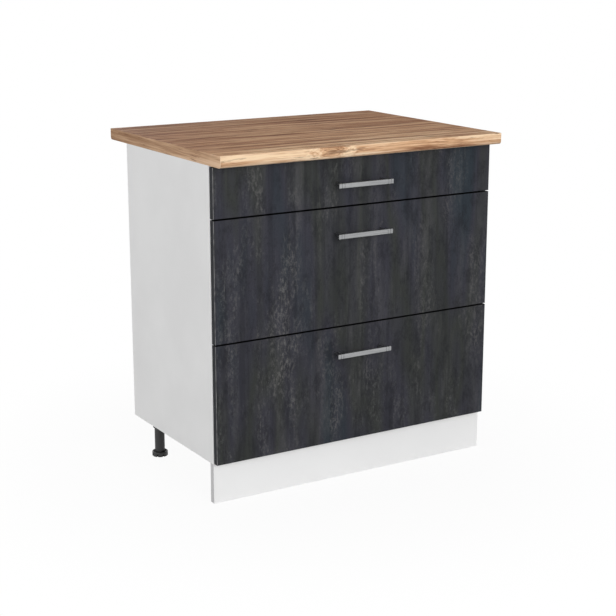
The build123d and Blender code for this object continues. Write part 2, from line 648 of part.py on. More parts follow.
def cabinet_rail(side_bottom):
    """Left cabinet rail: a C of bent sheet with a track, two stops and the front roller's rivet."""
    flange_z = side_bottom + cabinet_flange_top
    track_z = side_bottom + track_rise
    screw_z = side_bottom + web_rise
    with BuildPart() as rail:
        with BuildSketch(Plane.XZ.offset(-runner_front)):
            with BuildLine():
                FilletPolyline(
                    (panel_x + UPPER_FLANGE_WIDTH, flange_z),
                    (panel_x, flange_z),
                    (panel_x, track_z - SHEET),
                    (track_edge_x, track_z - SHEET),
                    radius=BEND + SHEET,
                )
                offset(amount=SHEET, side=Side.LEFT)
            make_face()
        extrude(amount=-runner_length)
        flange_start = front_roller_y + roller_radius + FLANGE_CUT
        with BuildSketch(Plane.YZ.offset(web_x)):
            with Locations(((runner_front + flange_start) / 2, flange_z)):
                Rectangle(flange_start - runner_front, 2 * (SHEET + BEND))
        extrude(amount=UPPER_FLANGE_WIDTH, mode=Mode.SUBTRACT)
        for stop_y, away in ((opening_stop_y, -1), (closing_stop_y, 1)):
            stop_middle_x = (rear_roller_x - ROLLER_WIDTH + track_edge_x) / 2
            stop_width = track_edge_x - rear_roller_x + ROLLER_WIDTH
            with BuildSketch(Plane.XY.offset(track_z - SHEET)):
                with Locations((stop_middle_x, stop_y + away * SHEET / 2)):
                    Rectangle(stop_width, SHEET)
            extrude(amount=SHEET + STOP_HEIGHT)
            with BuildSketch(Plane.XY.offset(track_z)):
                with Locations((stop_middle_x, stop_y + away * (SHEET + STOP_WINDOW / 2))):
                    Rectangle(stop_width - 2 * TRACK_PLAY, STOP_WINDOW)
            extrude(amount=-SHEET, mode=Mode.SUBTRACT)
        with Locations(*[inward(-1, inner_half - SHEET, y, screw_z) for y in screw_ys]):
            CounterSinkHole(
                RUNNER_SCREW_DIAMETER / 2 + CLEARANCE, RUNNER_SCREW_HEAD / 2 + CLEARANCE, SHEET, 90
            )
        slot_rows = [screw_ys[0] + SYSTEM_PITCH * step for step in range(1, screw_pitches, SLOT_STEP)]
        with BuildSketch(Plane.YZ.offset(panel_x)):
            with Locations(*[(y, screw_z) for y in slot_rows]):
                SlotOverall(SLOT_LENGTH, SLOT_WIDTH)
        extrude(amount=SHEET, mode=Mode.SUBTRACT)
        add(rivet(front_axle(side_bottom)))
    return rail.part


def drawer_rail(side_bottom):
    """Left drawer rail: a Z of bent sheet under and beside the drawer side, with a rear rivet."""
    flange_z = side_bottom + drawer_flange_top
    with BuildPart() as rail:
        with BuildSketch(Plane.XZ.offset(-rail_front)):
            with BuildLine():
                FilletPolyline(
                    (web_x + DRAWER_FLANGE_PLAY, flange_z),
                    (-box_half, flange_z),
                    (-box_half, side_bottom),
                    (-box_half + SUPPORT_WIDTH, side_bottom),
                    radius=(BEND + SHEET, BEND),
                )
                offset(amount=SHEET, side=Side.RIGHT)
            make_face()
        extrude(amount=rail_front - box_rear)
        slot_ys = [rail_front + SYSTEM_PITCH * step for step in range(1, screw_pitches, SLOT_STEP)]
        with BuildSketch(Plane.YZ.offset(drawer_web_x)):
            with Locations(*[(y, side_bottom + web_rise) for y in slot_ys]):
                SlotOverall(SLOT_LENGTH, SLOT_WIDTH)
        extrude(amount=SHEET, mode=Mode.SUBTRACT)
        with Locations(*rail_screw_planes(-1, side_bottom - SHEET)):
            CounterSinkHole(BOX_SCREW_DIAMETER / 2 + CLEARANCE, BOX_SCREW_HEAD / 2 + CLEARANCE, SHEET, 90)
        add(rivet(rear_axle(side_bottom)))
    return rail.part


# ================================================================== drawers
base_half = box_inner_half + GROOVE_DEPTH - PANEL_EDGE_GAP
front_half = half_width - FRONT_SIDE_MARGIN
bar_y = front_face - BAR_STANDOFF - BAR_THICKNESS / 2
post_xs = (-POST_SPACING / 2, POST_SPACING / 2)


def base_groove(plane, x_middle, x_size, base_z):
    """Sketch of the groove that the drawer's base sits in."""
    with BuildSketch(plane) as groove:
        with Locations((x_middle, base_z + BASE_THICKNESS / 2)):
            Rectangle(x_size, BASE_THICKNESS + GROOVE_CLEARANCE)
    return groove.sketch


def bar_section(plane, z, inset=0.0):
    """Sketch of the bar's section, or of what a groove of the given depth leaves of it."""
    with BuildSketch(plane) as section:
        with Locations((bar_y, z)):
            RectangleRounded(BAR_THICKNESS - 2 * inset, BAR_HEIGHT - 2 * inset, BAR_EDGE_RADIUS - inset)
    return section.sketch


def bar_handle(z):
    """Flat bar with rounded edges on two posts, with two grooves round it near each end."""
    with BuildPart() as handle:
        extrude(bar_section(Plane.YZ, z), amount=BAR_LENGTH / 2, both=True)
        bar_ends = handle.edges().group_by(Axis.X)
        chamfer(bar_ends[0] + bar_ends[-1], BAR_END_CHAMFER)
        for hand in HANDS.values():
            for groove_inset in GROOVE_INSETS:
                groove_plane = Plane.YZ.offset(hand * (BAR_LENGTH / 2 - groove_inset))
                ring = bar_section(groove_plane, z) - bar_section(groove_plane, z, BAR_GROOVE_DEPTH)
                extrude(ring, amount=BAR_GROOVE_WIDTH / 2, both=True, mode=Mode.SUBTRACT)
        with BuildSketch(Plane.XZ.offset(-front_face)):
            with Locations(*[(x, z) for x in post_xs]):
                Circle(POST_DIAMETER / 2)
        extrude(amount=BAR_STANDOFF)
        thread_depth = HANDLE_SCREW_LENGTH - FRONT_THICKNESS + HANDLE_THREAD_ROOM
        with Locations(*[Plane(origin=(x, front_face, z), z_dir=(0, 1, 0)) for x in post_xs]):
            Hole(HANDLE_SCREW_DIAMETER / 2 + CLEARANCE, thread_depth)
    return handle.part


FRONTWARD = (0, -1)  # ways a bored face looks, as its outward and its rearward share
REARWARD = (0, 1)
OUTWARD = (1, 0)


def corner_planes(hands, x, y, zs, facing):
    """Planes at the dowels or screws of a drawer's left or right corners, or of both."""
    outward, rearward = facing
    return [Plane(origin=(hand * x, y, z), z_dir=(hand * outward, rearward, 0)) for hand in hands for z in zs]


handle_screw = screw(HANDLE_SCREW_DIAMETER, HANDLE_SCREW_LENGTH, HANDLE_HEAD_DIAMETER, HANDLE_HEAD_HEIGHT)
box_screw = screw(BOX_SCREW_DIAMETER, BOX_SCREW_LENGTH, BOX_SCREW_HEAD)
with BuildPart() as dowel:
    with BuildSketch(Plane.XY):
        Circle(DOWEL_DIAMETER / 2)
    extrude(amount=DOWEL_LENGTH)
    chamfer(dowel.edges().filter_by(GeomType.CIRCLE), EDGE_CHAMFER)
side_middle_x = box_half - BOARD / 2
back_middle_y = box_rear - BOARD / 2

for number, (front_bottom, front_height, headroom) in DRAWERS.items():
    drawer = f"drawer_{number}"
    front_top = front_bottom + front_height
    side_bottom = front_bottom + SIDE_RISE
    side_top = front_top - headroom
    base_z = side_bottom + BASE_RISE
    handle_z = front_top - HANDLE_DROP
    joint_low = base_z + BASE_THICKNESS + JOINT_ABOVE_BASE
    joint_high = side_top - JOINT_BELOW_EDGE
    joint_spaces = ceil((joint_high - joint_low) / JOINT_SPACING)
    joint_space = (joint_high - joint_low) / joint_spaces
    joint_zs = [joint_low + joint_space * step for step in range(joint_spaces + 1)]

    with BuildPart() as front:
        with BuildSketch(Plane.XZ.offset(-front_rear)):
            with Locations((0, (front_bottom + front_top) / 2)):
                Rectangle(2 * front_half, front_height)
        extrude(amount=FRONT_THICKNESS)
        fillet(front.faces().sort_by(Axis.Y)[0].edges(), FRONT_EDGE_RADIUS)
        extrude(
            base_groove(Plane.XZ.offset(-front_rear), 0, 2 * (box_inner_half + GROOVE_DEPTH), base_z),
            amount=GROOVE_DEPTH,
            mode=Mode.SUBTRACT,
        )
        with Locations(*[Plane(origin=(x, front_rear, handle_z), z_dir=(0, 1, 0)) for x in post_xs]):
            Hole(HANDLE_SCREW_DIAMETER / 2 + CLEARANCE, FRONT_THICKNESS)
        with Locations(*corner_planes(HANDS.values(), side_middle_x, front_rear, joint_zs, REARWARD)):
            Hole(DOWEL_DIAMETER / 2 + CLEARANCE, DOWEL_DEPTH)
    save(front.part, f"{drawer}_front")

    for side, hand in HANDS.items():
        with BuildPart() as drawer_side:
            with BuildSketch(Plane.YZ.offset(hand * box_inner_half)):
                with Locations(((front_rear + box_rear) / 2, (side_bottom + side_top) / 2)):
                    Rectangle(runner_length, side_top - side_bottom)
            extrude(amount=hand * BOARD)
            long_edges = drawer_side.edges().filter_by(Axis.Y)
            chamfer(long_edges.sort_by(Axis.Z)[-2:], EDGE_CHAMFER)
            outer_edge = long_edges.group_by(Axis.Z)[0].sort_by(lambda edge: abs(edge.center().X))[-1]
            chamfer(outer_edge, EDGE_CHAMFER)
            groove = base_groove(
                Plane.YZ.offset(hand * box_inner_half), (front_rear + box_rear) / 2, runner_length, base_z
            )
            extrude(groove, amount=hand * GROOVE_DEPTH, mode=Mode.SUBTRACT)
            with Locations(*corner_planes((hand,), side_middle_x, front_rear, joint_zs, FRONTWARD)):
                Hole(DOWEL_DIAMETER / 2 + CLEARANCE, DOWEL_LENGTH - DOWEL_DEPTH)
            with Locations(*corner_planes((hand,), box_half, back_middle_y, joint_zs, OUTWARD)):
                CounterSinkHole(BOX_SCREW_DIAMETER / 2 + CLEARANCE, BOX_SCREW_HEAD / 2 + CLEARANCE, BOARD, 90)
            with Locations(*rail_screw_planes(hand, side_bottom)):
                CounterSinkHole(
                    BOX_SCREW_DIAMETER / 2 + CLEARANCE,
                    BOX_SCREW_HEAD / 2 - SHEET + CLEARANCE,
                    BOX_SCREW_LENGTH - SHEET,
                    90,
                )
        save(drawer_side.part, f"{drawer}_side_{side}")

    with BuildPart() as drawer_back:
        add(
            board(
                (-box_inner_half, box_inner_half),
                (box_rear - BOARD, box_rear),
                (base_z + BASE_THICKNESS, side_top),
            )
        )
        with Locations(*corner_planes(HANDS.values(), box_inner_half, back_middle_y, joint_zs, OUTWARD)):
            Hole(BOX_SCREW_DIAMETER / 2 + CLEARANCE, BOX_SCREW_LENGTH - BOARD)
    save(drawer_back.part, f"{drawer}_back")

    drawer_base = board(
        (-base_half, base_half),
        (front_rear - GROOVE_DEPTH + PANEL_EDGE_GAP, box_rear),
        (base_z, base_z + BASE_THICKNESS),
    )
    save(drawer_base, f"{drawer}_base")

    dowel_planes = corner_planes(HANDS.values(), side_middle_x, front_rear - DOWEL_DEPTH, joint_zs, REARWARD)
    save(group(dowel.part, dowel_planes), f"{drawer}_dowels")

    screw_planes = [
        Plane(origin=plane.origin, z_dir=-plane.z_dir)
        for plane in corner_planes(HANDS.values(), box_half, back_middle_y, joint_zs, OUTWARD)
        + rail_screw_planes(-1, side_bottom - SHEET)
        + rail_screw_planes(1, side_bottom - SHEET)
    ]
    save(group(box_screw, screw_planes), f"{drawer}_screws")

    save(bar_handle(handle_z), f"{drawer}_handle")
    handle_screw_planes = [Plane(origin=(x, front_rear, handle_z), z_dir=(0, -1, 0)) for x in post_xs]
    save(group(handle_screw, handle_screw_planes), f"{drawer}_handle_screws")

    save(pair(cabinet_rail(side_bottom)), f"cabinet_rails_{number}")
    save(pair(drawer_rail(side_bottom)), f"{drawer}_rails")
    save(pair(roller(front_axle(side_bottom))), f"front_rollers_{number}")
    save(pair(roller(rear_axle(side_bottom))), f"rear_rollers_{number}")
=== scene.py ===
"""Looks of a kitchen base cabinet with three drawers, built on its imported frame.

The frame gives every part of the cabinet at its true place, in metres: X to the right, Y to the rear,
Z up, with the origin on the floor under the middle of the worktop.
"""

import logging
import math
from collections.abc import Mapping, Sequence
from dataclasses import dataclass, field
from enum import Enum

import bmesh
import bpy
from mathutils import Euler, Matrix, Vector

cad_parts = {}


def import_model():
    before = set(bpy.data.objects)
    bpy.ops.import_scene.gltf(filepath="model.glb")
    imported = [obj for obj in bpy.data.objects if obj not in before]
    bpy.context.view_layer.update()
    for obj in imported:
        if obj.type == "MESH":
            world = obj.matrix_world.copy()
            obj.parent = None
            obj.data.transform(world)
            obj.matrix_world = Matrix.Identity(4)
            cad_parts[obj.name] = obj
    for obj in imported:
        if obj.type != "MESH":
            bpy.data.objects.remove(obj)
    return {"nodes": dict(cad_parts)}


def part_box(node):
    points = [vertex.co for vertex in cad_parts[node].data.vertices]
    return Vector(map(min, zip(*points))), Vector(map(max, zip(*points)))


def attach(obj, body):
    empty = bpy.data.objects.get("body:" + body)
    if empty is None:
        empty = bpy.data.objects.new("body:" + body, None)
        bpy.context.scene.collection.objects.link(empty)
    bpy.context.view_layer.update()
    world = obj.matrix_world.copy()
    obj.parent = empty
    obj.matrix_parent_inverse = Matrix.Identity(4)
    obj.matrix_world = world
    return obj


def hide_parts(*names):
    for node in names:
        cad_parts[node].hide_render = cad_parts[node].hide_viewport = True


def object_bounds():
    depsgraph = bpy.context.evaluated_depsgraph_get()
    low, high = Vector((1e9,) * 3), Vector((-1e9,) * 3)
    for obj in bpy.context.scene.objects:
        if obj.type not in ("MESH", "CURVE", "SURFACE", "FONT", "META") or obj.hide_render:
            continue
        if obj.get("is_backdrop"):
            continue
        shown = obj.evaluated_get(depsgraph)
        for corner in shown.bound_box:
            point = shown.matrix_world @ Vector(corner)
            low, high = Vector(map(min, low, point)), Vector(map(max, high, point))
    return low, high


LOG = logging.getLogger("base_cabinet")

Colour = tuple[float, float, float]
Triple = tuple[float, float, float]
Socket = bpy.types.NodeSocket
Given = Socket | float | Sequence[float]
Piece = bpy.types.Object
Material = bpy.types.Material
Stops = tuple[tuple[float, Colour], ...]
Outline = Sequence[tuple[float, float]]

DRAWERS = (1, 2, 3)
SIDES = ("left", "right")
ENDS = ("front", "rear")
MERGE = 1e-6  # corners nearer than this, in metres, are one
CREASE = math.radians(32.0)  # edges that turn by more than this look sharp
ORIGIN = (0.0, 0.0, 0.0)
UP = (0.0, 0.0, 1.0)
WHITE = (1.0, 1.0, 1.0)


def linear(red: int, green: int, blue: int) -> Colour:
    """A colour of a picture, 0 to 255, as the linear values that shaders take."""
    shares = (red / 255, green / 255, blue / 255)
    return tuple(s / 12.92 if s <= 0.04045 else ((s + 0.055) / 1.055) ** 2.4 for s in shares)


class Blend(Enum):
    """How one colour of a pattern lies over another."""

    OVER = "MIX"
    # Multiplies a colour by a factor: plain tone changes, and also painted light and painted shade.
    MULTIPLIED = "MULTIPLY"


class Way(Enum):
    """The ways that a board's faces look, as an axis and a sign on it."""

    LEFT = ("X", -1.0)
    RIGHT = ("X", 1.0)
    FRONT = ("Y", -1.0)
    REAR = ("Y", 1.0)
    BELOW = ("Z", -1.0)
    ABOVE = ("Z", 1.0)


class Grain(Enum):
    """The way that the grain of a board or a rolled part runs, as turns about X, Y and Z."""

    ALONG_X = (0.0, 0.0, 0.0)
    ALONG_Y = (0.0, 0.0, math.pi / 2)


@dataclass(frozen=True)
class Clouds:
    """A pattern of clouds, with its scale in units per metre along the grain and across it."""

    scale: Triple
    detail: float = 4.0
    roughness: float = 0.5
    start: Triple = ORIGIN


@dataclass(frozen=True)
class Layer:
    """A colour that lies over others as the values of clouds go from low to high."""

    clouds: Clouds
    low: float
    high: float
    colour: Colour
    share: float = 1.0


class Tree:
    """The node tree of a material or of the world, with short ways to fill it."""

    def __init__(self, owner: Material | bpy.types.World) -> None:
        """Empties the owner's node tree.

        Args:
            owner: The material or the world.
        """
        owner.use_nodes = True
        self.nodes = owner.node_tree.nodes
        self.links = owner.node_tree.links
        self.nodes.clear()

    def add(self, kind: str, given: Mapping[str | int, Given], **settings: str) -> bpy.types.Node:
        """Adds a node.

        Args:
            kind: The node's type, without its prefix.
            given: What its inputs get, by their names or numbers: another node's output or a constant.
            **settings: The node's own settings.

        Returns:
            The node.
        """
        node = self.nodes.new(f"ShaderNode{kind}")
        for name, value in settings.items():
            setattr(node, name, value)
        for name, value in given.items():
            socket = node.inputs[name]
            if isinstance(value, Socket):
                self.links.new(value, socket)
            else:
                socket.default_value = (*value, 1.0) if socket.type == "RGBA" else value
        return node

    def ranged(
        self,
        value: Socket,
        low: float,
        high: float,
        to_low: float = 0.0,
        to_high: float = 1.0,
        smooth: bool = True,
    ) -> Socket:
        """Maps low..high to to_low..to_high, and holds the ends.

        Args:
            value: What is mapped.
            low: Where the change begins.
            high: Where it ends.
            to_low: The result at low.
            to_high: The result at high.
            smooth: Whether the ends are eased.

        Returns:
            The mapped value.
        """
        given = {"Value": value, "From Min": low, "From Max": high, "To Min": to_low, "To Max": to_high}
        easing = "SMOOTHSTEP" if smooth else "LINEAR"
        return self.add("MapRange", given, interpolation_type=easing).outputs["Result"]

    def plus(self, first: Given, second: Given) -> Socket:
        """The sum of two values."""
        return self.add("Math", {0: first, 1: second}, operation="ADD").outputs["Value"]

    def less(self, first: Given, second: Given) -> Socket:
        """The first value less the second."""
        return self.add("Math", {0: first, 1: second}, operation="SUBTRACT").outputs["Value"]

    def times(self, first: Given, second: Given) -> Socket:
        """The product of two values."""
        return self.add("Math", {0: first, 1: second}, operation="MULTIPLY").outputs["Value"]

    def most(self, first: Given, second: Given) -> Socket:
        """The larger of two values."""
        return self.add("Math", {0: first, 1: second}, operation="MAXIMUM").outputs["Value"]

    def mixed(self, share: Socket, first: Socket, second: Socket) -> Socket:
        """Two shaders mixed, by the second one's share from 0 to 1."""
        return self.add("MixShader", {0: share, 1: first, 2: second}).outputs["Shader"]


class Recipe(Tree):
    """The node tree of one finish, with ways to lay its patterns.

    It holds the object's own coordinates, whole and by their letters, and the way that its faces look.
    """

    def __init__(self, name: str) -> None:
        """Starts a material.

        Args:
            name: The material's name.
        """
        self.material = bpy.data.materials.new(name)
        super().__init__(self.material)
        source = self.add("TexCoord", {})
        self.place = source.outputs["Object"]
        self.at = self.add("SeparateXYZ", {"Vector": self.place}).outputs
        self.out = self.add("SeparateXYZ", {"Vector": source.outputs["Normal"]}).outputs

    def laid(self, scale: Triple, turn: Grain = Grain.ALONG_X, start: Triple = ORIGIN) -> Socket:
        """The object's own coordinates, turned and stretched for a pattern.

        Args:
            scale: Pattern units per metre along each turned axis.
            turn: The way that the pattern's X axis points.
            start: Where the pattern begins, in pattern units.

        Returns:
            The coordinates.
        """
        turned = self.place
        if turn is not Grain.ALONG_X:
            given = {"Vector": turned, "Rotation": Euler(turn.value)}
            turned = self.add("Mapping", given, vector_type="TEXTURE").outputs["Vector"]
        given = {"Vector": turned, "Location": start, "Scale": scale}
        return self.add("Mapping", given).outputs["Vector"]

    def noise(self, clouds: Clouds, grain: Grain = Grain.ALONG_X, *bends: tuple[Socket, Triple]) -> Socket:
        """Clouds of values from 0 to 1 about a half.

        Args:
            clouds: The clouds.
            grain: The way that they are drawn out.
            *bends: Patterns that move them, each with its direction.

        Returns:
            The values.
        """
        at = self.laid(clouds.scale, grain, clouds.start)
        for amount, along in bends:
            at = self.shift(at, amount, along)
        given = {"Vector": at, "Scale": 1.0, "Detail": clouds.detail, "Roughness": clouds.roughness}
        return self.add("TexNoise", given).outputs["Fac"]

    def cells(self, vector: Socket, randomness: float = 1.0) -> Socket:
        """The distance from the nearest of scattered points."""
        given = {"Vector": vector, "Scale": 1.0, "Randomness": randomness}
        return self.add("TexVoronoi", given).outputs["Distance"]

    def tone(self, vector: Socket) -> Socket:
        """One random value for each of scattered cells."""
        cells = self.add("TexVoronoi", {"Vector": vector, "Scale": 1.0})
        return self.add("SeparateColor", {"Color": cells.outputs["Color"]}).outputs["Red"]

    def shift(self, vector: Socket, amount: Socket, along: Triple) -> Socket:
        """Coordinates moved along a direction by a pattern's value."""
        way = self.add("VectorMath", {0: along, "Scale": amount}, operation="SCALE")
        moved = self.add("VectorMath", {0: vector, 1: way.outputs["Vector"]}, operation="ADD")
        return moved.outputs["Vector"]

    def looking(self, way: Way, start: float = 0.8, full: float = 0.98) -> Socket:
        """One on the faces that look one way, nought from where they turn off it."""
        axis, sign = way.value
        return self.ranged(self.out[axis], sign * start, sign * full)

    def colours(self, value: Socket, stops: Stops) -> Socket:
        """A colour for each value, from stops of place and colour."""
        node = self.add("ValToRGB", {"Fac": value})
        ramp = node.color_ramp
        for element, (position, colour) in ((ramp.elements[0], stops[0]), (ramp.elements[1], stops[-1])):
            element.position = position
            element.color = (*colour, 1.0)
        for position, colour in stops[1:-1]:
            ramp.elements.new(position).color = (*colour, 1.0)
        return node.outputs["Color"]

    def over(self, share: Given, below: Given, above: Given, how: Blend = Blend.OVER) -> Socket:
        """One colour over another, by a share from 0 to 1."""
        given = {0: share, 6: below, 7: above}
        return self.add("Mix", given, data_type="RGBA", blend_type=how.value).outputs[2]

    def layered(self, below: Given, *layers: Layer) -> Socket:
        """A colour with layers over it, in their order."""
        for layer in layers:
            share = self.ranged(self.noise(layer.clouds), layer.low, layer.high, 0.0, layer.share)
            below = self.over(share, below, layer.colour)
        return below

    def finished(
        self,
        colour: Socket,
        rough: Socket,
        height: Socket,
        depth: float,
        strength: float = 0.5,
        gloss: float = 0.5,
        metallic: float = 0.0,
    ) -> Material:
        """Ends the tree with its one shader.

        Args:
            colour: The pattern of the colour.
            rough: The pattern of the roughness.
            height: The pattern of the relief, 0 to 1.
            depth: Metres from 0 to 1 of the relief.
            strength: How much of the relief shows.
            gloss: How strongly it reflects where it isn't metal.
            metallic: One for metal.

        Returns:
            The material.
        """
        bump = self.add("Bump", {"Strength": strength, "Distance": depth, "Height": height})
        given = {"Base Color": colour, "Roughness": rough, "Normal": bump.outputs["Normal"]}
        given |= {"Specular IOR Level": gloss, "Metallic": metallic}
        shader = self.add("BsdfPrincipled", given)
        self.add("OutputMaterial", {"Surface": shader.outputs["BSDF"]})
        return self.material


@dataclass(frozen=True)
class Chipboard:
    """Raw chipboard, as it shows on a sawn edge: bent flakes of several tones under fine dust."""

    bends: Clouds = Clouds((90.0, 90.0, 90.0))
    flake_scale: Triple = (640.0, 640.0, 980.0)
    tones: Stops = (
        (0.0, linear(154, 122, 87)),
        (0.35, linear(186, 155, 115)),
        (0.7, linear(208, 180, 140)),
        (1.0, linear(226, 204, 166)),
    )
    dust: Layer = Layer(Clouds((1500.0, 1500.0, 1500.0), 2.0), 0.35, 0.7, linear(150, 118, 84), 0.35)

    def lay(self, tree: Recipe) -> Socket:
        """The colour of the board."""
        flakes = tree.shift(tree.laid(self.flake_scale), tree.noise(self.bends), (3.0, 2.0, 4.0))
        return tree.layered(tree.colours(tree.tone(flakes), self.tones), self.dust)


@dataclass(frozen=True)
class Finish:
    """A finish for a slot of the record, and for one piece of it where the slot has several finishes."""

    slot: str
    piece: str = field(default="", kw_only=True)

    @property
    def name(self) -> str:
        """The finish's name: its slot's, with its piece's where it has one."""
        return f"{self.slot}_{self.piece}" if self.piece else self.slot

    def material(self) -> Material:
        """Builds the finish's material."""
        raise NotImplementedError


@dataclass(frozen=True)
class OakDecor(Finish):
    """Rustic oak laminate: straight brown streaks, dark pores, cracks and a few small knots.

    The wood darkens from the front edge (0) to the rear edge (1).
    """

    slot: str = "oak_decor"
    dark: Colour = linear(150, 105, 75)
    middle: Colour = linear(219, 173, 133)
    light: Colour = linear(252, 220, 182)
    line: Colour = linear(92, 58, 40)
    under: Colour = linear(168, 150, 130)
    sway: Clouds = Clouds((1.6, 3.0, 3.0), 2.0)
    streaks: Clouds = Clouds((2.4, 52.0, 52.0), 5.0, 0.68)
    fibres: Clouds = Clouds((4.4, 330.0, 330.0), 5.0, 0.7)
    boards: Clouds = Clouds((0.9, 11.0, 11.0), 1.0, start=(0.3, 1.7, 0.0))
    pores: Clouds = Clouds((6.4, 84.0, 84.0), 5.0, 0.72)
    cracks: Clouds = Clouds((16.0, 150.0, 150.0), 3.0, 0.6, (4.0, 2.0, 0.0))
    cracked: Clouds = Clouds((5.0, 12.0, 12.0), 1.0, start=(1.1, 0.0, 0.0))
    knot_scale: Triple = (3.4, 8.0, 8.0)
    knot_start: Triple = (0.35, 0.2, 0.1)
    relief: float = 0.00012
    gloss: float = 0.03
    front_y: float = -0.3
    rear_y: float = 0.3
    low_z: float = 0.8225
    high_z: float = 0.838
    # Factors on the wood's colour, darker from the front edge towards the rear.
    rear_darkening: Stops = (
        (0.0, WHITE),
        (0.09, (0.95, 0.95, 0.95)),
        (0.22, (0.755, 0.685, 0.65)),
        (0.5, (0.62, 0.53, 0.48)),
        (1.0, (0.62, 0.53, 0.48)),
    )
    # Painted light and shade as factors on the wood's colour, in order: painted shade on the top's left
    # part, painted light on the front faces, painted shade on the lower bend of the front edge, and a
    # painted highlight along the top bend of the front edge.
    left_shade: Colour = (0.85, 0.765, 0.69)
    front_painted_light: Colour = (1.06, 1.09, 1.12)
    low_shade: Colour = (0.74, 0.76, 0.8)
    bend_painted_highlight: Colour = (1.12, 1.12, 1.12)
    grain: Grain = Grain.ALONG_X

    def wood(self, tree: Recipe, knot: Socket, sway: Socket) -> tuple[Socket, Socket]:
        """The streaks of the wood, bent round the knots.

        Args:
            tree: The node tree to lay them in.
            knot: The distance from the nearest knot.
            sway: How far the grain wanders.

        Returns:
            The streaks' colour and the fine grain.
        """
        rings = tree.ranged(knot, 0.03, 0.3, 1.0, 0.0)
        streaks = tree.noise(self.streaks, self.grain, (sway, (0.0, 1.6, 1.6)), (rings, (0.0, 1.0, 0.5)))
        fibres = tree.noise(self.fibres, self.grain, (sway, (0.0, 12.0, 12.0)), (rings, (0.0, 9.0, 4.0)))
        joined = tree.plus(tree.times(streaks, 0.7), tree.times(fibres, 0.3))
        body = tree.colours(joined, ((0.41, self.dark), (0.49, self.middle), (0.57, self.light)))
        boards = tree.noise(self.boards, self.grain)
        return tree.over(tree.ranged(boards, 0.56, 0.4, 0.0, 0.18), body, self.dark), fibres

    def lines(self, tree: Recipe, knot: Socket, sway: Socket) -> Socket:
        """One on dark pore lines, short cracks and the hearts of knots."""
        pores = tree.noise(self.pores, self.grain, (sway, (0.0, 3.5, 3.5)))
        pores = tree.ranged(pores, 0.555, 0.635, 0.0, 0.62)
        cracks = tree.noise(self.cracks, self.grain, (sway, (0.0, 6.0, 6.0)))
        cracks = tree.ranged(cracks, 0.63, 0.7, 0.0, 0.8)
        cracked = tree.ranged(tree.noise(self.cracked, self.grain), 0.5, 0.6)
        hearts = tree.ranged(knot, 0.03, 0.09, 0.85, 0.0)
        return tree.most(pores, tree.most(tree.times(cracks, cracked), hearts))

    def pattern(self, tree: Recipe) -> tuple[Socket, Socket]:
        """The decor's colour and the height of its grain."""
        sway = tree.noise(self.sway, self.grain)
        knot = tree.cells(tree.laid(self.knot_scale, self.grain, self.knot_start))
        wood, fibres = self.wood(tree, knot, sway)
        lines = self.lines(tree, knot, sway)
        wood = self.tinted(tree, tree.over(lines, wood, self.line))
        return wood, tree.less(fibres, lines)

    def darkened_to_rear(self, tree: Recipe, wood: Socket) -> Socket:
        """The wood deeper to the rear."""
        depth = tree.ranged(tree.at["Y"], self.front_y, self.rear_y, smooth=False)
        return tree.over(1.0, wood, tree.colours(depth, self.rear_darkening), Blend.MULTIPLIED)

    def tinted(self, tree: Recipe, wood: Socket) -> Socket:
        """The wood deeper to the rear, with painted shade on the top's left part and on the lower front
        bend, painted light on the front edge and a painted highlight along its top bend.
        """
        left = tree.ranged(tree.at["X"], 0.05, -0.4)
        left = tree.times(left, tree.looking(Way.ABOVE, 0.3, 0.9))
        bend = tree.looking(Way.ABOVE, 0.1, 0.45)
        bend = tree.times(tree.looking(Way.FRONT, 0.15, 0.5), bend)
        low = tree.ranged(tree.at["Z"], self.high_z, self.low_z)
        low = tree.times(tree.looking(Way.FRONT, 0.1, 0.4), low)
        wood = self.darkened_to_rear(tree, wood)
        # Lays the painted shade, painted light and painted highlight over the wood.
        for share, tint in (
            (left, self.left_shade),
            (tree.looking(Way.FRONT, 0.3, 0.8), self.front_painted_light),
            (bend, self.bend_painted_highlight),
            (low, self.low_shade),
        ):
            wood = tree.over(share, wood, tint, Blend.MULTIPLIED)
        return wood

    def finish(self, tree: Recipe, wood: Socket, height: Socket) -> Material:
        """Lays the colour, the satin skin and the relief of the pores."""
        rough = tree.ranged(height, 0.1, 0.8, 0.66, 0.54)
        return tree.finished(wood, rough, height, self.relief, 0.6, self.gloss)

    def material(self) -> Material:
        """The decor above and in front, the balancing paper below and raw board at the rear."""
        tree = Recipe(self.name)
        wood, height = self.pattern(tree)
        wood = tree.over(tree.looking(Way.BELOW, 0.6, 0.95), wood, self.under)
        wood = tree.over(tree.looking(Way.REAR, 0.6, 0.95), wood, Chipboard().lay(tree))
        return self.finish(tree, wood, height)


@dataclass(frozen=True)
class OakEdgeBand(OakDecor):
    """The decor on the thin bands that close the worktop's ends, with a painted highlight on their front
    and lower edges.
    """

    slot: str = "oak_edge_band"
    dark: Colour = linear(180, 143, 113)
    middle: Colour = linear(218, 182, 149)
    light: Colour = linear(238, 205, 173)
    line: Colour = linear(128, 92, 70)
    # Painted highlight: a pale line on the band's front and lower edges.
    painted_edge_highlight: Colour = linear(252, 226, 198)
    rear_darkening: Stops = ((0.0, WHITE), (0.15, (0.94, 0.93, 0.93)), (1.0, (0.69, 0.64, 0.6)))
    grain: Grain = Grain.ALONG_Y

    def tinted(self, tree: Recipe, wood: Socket) -> Socket:
        """The wood deeper to the rear, with a painted highlight on the edges in front and below."""
        # Painted highlight on the faces that look to the front and below.
        painted_edge_highlight = tree.most(tree.looking(Way.FRONT, 0.2, 0.6), tree.looking(Way.BELOW, 0.7, 0.95))
        return tree.over(painted_edge_highlight, self.darkened_to_rear(tree, wood), self.painted_edge_highlight)

    def material(self) -> Material:
        """The decor with a painted highlight on its front and lower edges."""
        tree = Recipe(self.name)
        return self.finish(tree, *self.pattern(tree))


